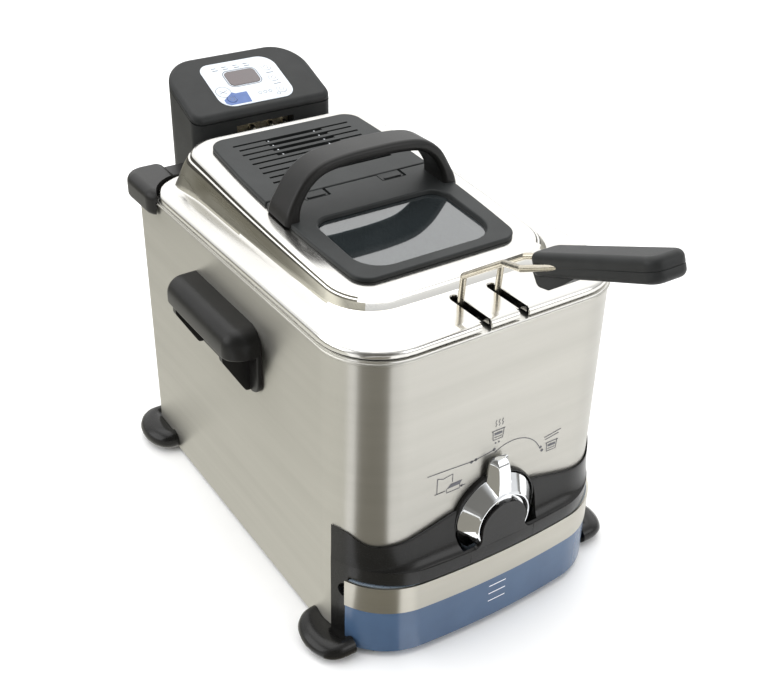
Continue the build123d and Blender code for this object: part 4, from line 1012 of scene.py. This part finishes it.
# ---- CAD pieces that stay -------------------------------------------------------------------
def refinish_cad():
    own = {"front_trim": satin_plastic, "control_case": case_plastic, "oil_box_band": band_steel,
           "terminal_plate": plate_steel}
    for name, node in nodes.items():
        for place_slot in node.material_slots:
            key = (place_slot.material.name if place_slot.material else "").split(".")[0]
            place_slot.material = own.get(name, CAD_FINISH.get(key, inner_plastic))


refinish_cad()
add_housing()
add_lid()
add_lid_panel()
add_lid_handle()
add_rear_guide()
add_feet()
add_side_handles()
add_front_trim()
add_knob()
add_control()
add_grip()
add_wires()
add_prints()
add_box_marks()


# ---- camera, light and floor ----------------------------------------------------------------
CAMERA_AT = at(-424.5, -651.8, 636.9)
CAMERA_TURN, CAMERA_DOWN, CAMERA_ROLL = -32.42, 30.26, 0.37
LENS, SHIFT_X, SHIFT_Y = 51.8, 0.0406, -0.0536


def add_camera():
    data = bpy.data.cameras.new("camera")
    data.lens = LENS
    data.shift_x, data.shift_y = SHIFT_X, SHIFT_Y
    camera = bpy.data.objects.new("camera", data)
    turn = Euler((math.radians(90 - CAMERA_DOWN), 0, math.radians(CAMERA_TURN))).to_matrix()
    roll = Matrix.Rotation(math.radians(CAMERA_ROLL), 3, "Z")
    camera.matrix_world = Matrix.Translation(CAMERA_AT) @ (turn @ roll).to_4x4()
    bpy.context.scene.collection.objects.link(camera)
    bpy.context.scene.camera = camera


def add_floor():
    bpy.ops.mesh.primitive_plane_add(size=12, location=(0, 0, 0))
    floor = bpy.context.object
    floor.name = "floor"
    floor.data.materials.append(finish_material("studio_floor", "fafafa", "fcfcfc", (0.7, 0.8), (2, 2, 2),
                                                (30, 30, 30), 0.02, 0.0001))


def add_card(name, corners, tone, strength):
    """A card on the floor that only reflections see, as a studio's flags and reflectors."""
    mesh = bpy.data.meshes.new(name)
    mesh.from_pydata([tuple(c) for c in corners], [], [tuple(range(len(corners)))])
    card = bpy.data.objects.new(name, mesh)
    bpy.context.scene.collection.objects.link(card)
    made = bpy.data.materials.new(name)
    made.use_nodes = True
    tree = made.node_tree
    tree.nodes.clear()
    glow = tree.nodes.new("ShaderNodeEmission")
    glow.inputs["Color"].default_value = colour(tone)
    glow.inputs["Strength"].default_value = strength
    out = tree.nodes.new("ShaderNodeOutputMaterial")
    tree.links.new(glow.outputs["Emission"], out.inputs["Surface"])
    mesh.materials.append(made)
    card.visible_camera = card.visible_diffuse = card.visible_shadow = card.visible_transmission = False


def add_light(name, place_at, aim, size, power, tone=(1, 1, 1)):
    data = bpy.data.lights.new(name, "AREA")
    data.shape = "RECTANGLE"
    data.size, data.size_y = size
    data.energy = power
    data.color = tone
    lamp = bpy.data.objects.new(name, data)
    lamp.location = place_at
    lamp.rotation_euler = (Vector(aim) - Vector(place_at)).to_track_quat("-Z", "Y").to_euler()
    bpy.context.scene.collection.objects.link(lamp)


def add_world():
    """A bright, even studio with a darker part round the camera."""
    world = bpy.data.worlds.new("studio")
    bpy.context.scene.world = world
    world.use_nodes = True
    tree = world.node_tree
    back = tree.nodes["Background"]
    place_node = tree.nodes.new("ShaderNodeTexCoord")

    def toward(azimuth, height, near, far):
        aim = Vector((math.cos(math.radians(azimuth)) * math.cos(math.radians(height)),
                      math.sin(math.radians(azimuth)) * math.cos(math.radians(height)),
                      math.sin(math.radians(height))))
        dot = tree.nodes.new("ShaderNodeVectorMath")
        dot.operation = "DOT_PRODUCT"
        dot.inputs[1].default_value = aim
        tree.links.new(place_node.outputs["Generated"], dot.inputs[0])
        spread = tree.nodes.new("ShaderNodeMapRange")
        spread.interpolation_type = "SMOOTHSTEP"
        spread.inputs["From Min"].default_value = math.cos(math.radians(far))
        spread.inputs["From Max"].default_value = math.cos(math.radians(near))
        tree.links.new(dot.outputs["Value"], spread.inputs["Value"])
        return spread.outputs["Result"]

    def mix(low, high, share):
        node = tree.nodes.new("ShaderNodeMix")
        node.data_type = "RGBA"
        tree.links.new(share, node.inputs["Factor"])
        for key, value in (("A", low), ("B", high)):
            socket = [s for s in node.inputs if s.name == key and s.type == "RGBA"][0]
            if isinstance(value, tuple):
                socket.default_value = value
            else:
                tree.links.new(value, socket)
        return [s for s in node.outputs if s.type == "RGBA"][0]

    bright = mix((0.95, 0.96, 0.97, 1), (1.75, 1.75, 1.74, 1), toward(57, 40, 25, 75))
    camera_side = mix(bright, (0.22, 0.215, 0.2, 1), toward(237, 24, 22, 40))
    height = tree.nodes.new("ShaderNodeSeparateXYZ")
    tree.links.new(place_node.outputs["Generated"], height.inputs["Vector"])
    level = tree.nodes.new("ShaderNodeMapRange")
    level.interpolation_type = "SMOOTHSTEP"
    level.inputs["From Min"].default_value, level.inputs["From Max"].default_value = 0.14, 0.05
    tree.links.new(height.outputs["Z"], level.inputs["Value"])
    all_round = mix(camera_side, (0.3, 0.295, 0.28, 1), level.outputs["Result"])
    tree.links.new(all_round, back.inputs["Color"])
    back.inputs["Strength"].default_value = 0.9


def wedge(azimuth_from, azimuth_to, reach=1.6, start=0.02, height=0.0004):
    """Corners of a flat sector whose point lies under the housing's left front corner."""
    tip = at(-HALF + R_FRONT, FRONT + R_FRONT, 0)
    corners = []
    turns = [azimuth_from + (azimuth_to - azimuth_from) * k / 12 for k in range(13)]
    for azimuth, far in [(a, start) for a in turns] + [(a, reach) for a in reversed(turns)]:
        a = math.radians(azimuth)
        corners.append((tip.x + far * math.cos(a), tip.y + far * math.sin(a), height))
    return corners


bpy.context.scene.view_settings.view_transform = "Standard"
add_camera()
add_floor()
add_world()
add_card("dark_flag", wedge(205, 258), "b0aca0", 0.75)
add_card("side_flag", wedge(60, 190, 1.1, 0.02, 0.0003), "f0efe6", 1.12)
add_card("far_flag", wedge(60, 188, 5.5, 1.1, 0.0003), "b4b1a4", 0.85)
add_card("left_reflector", wedge(190, 205), "ffffff", 1.5)
add_card("right_reflector", wedge(258, 276), "ffffff", 1.5)
add_light("left_box", (-2.0, 0.6, 1.3), (0, 0, 0.15), (2.2, 1.6), 22)
add_light("front_box", (1.2, -2.2, 1.3), (0, 0, 0.15), (2.0, 1.4), 16)
add_light("top_box", (0.1, 0.5, 2.2), (0, 0, 0.2), (2.4, 2.4), 26)
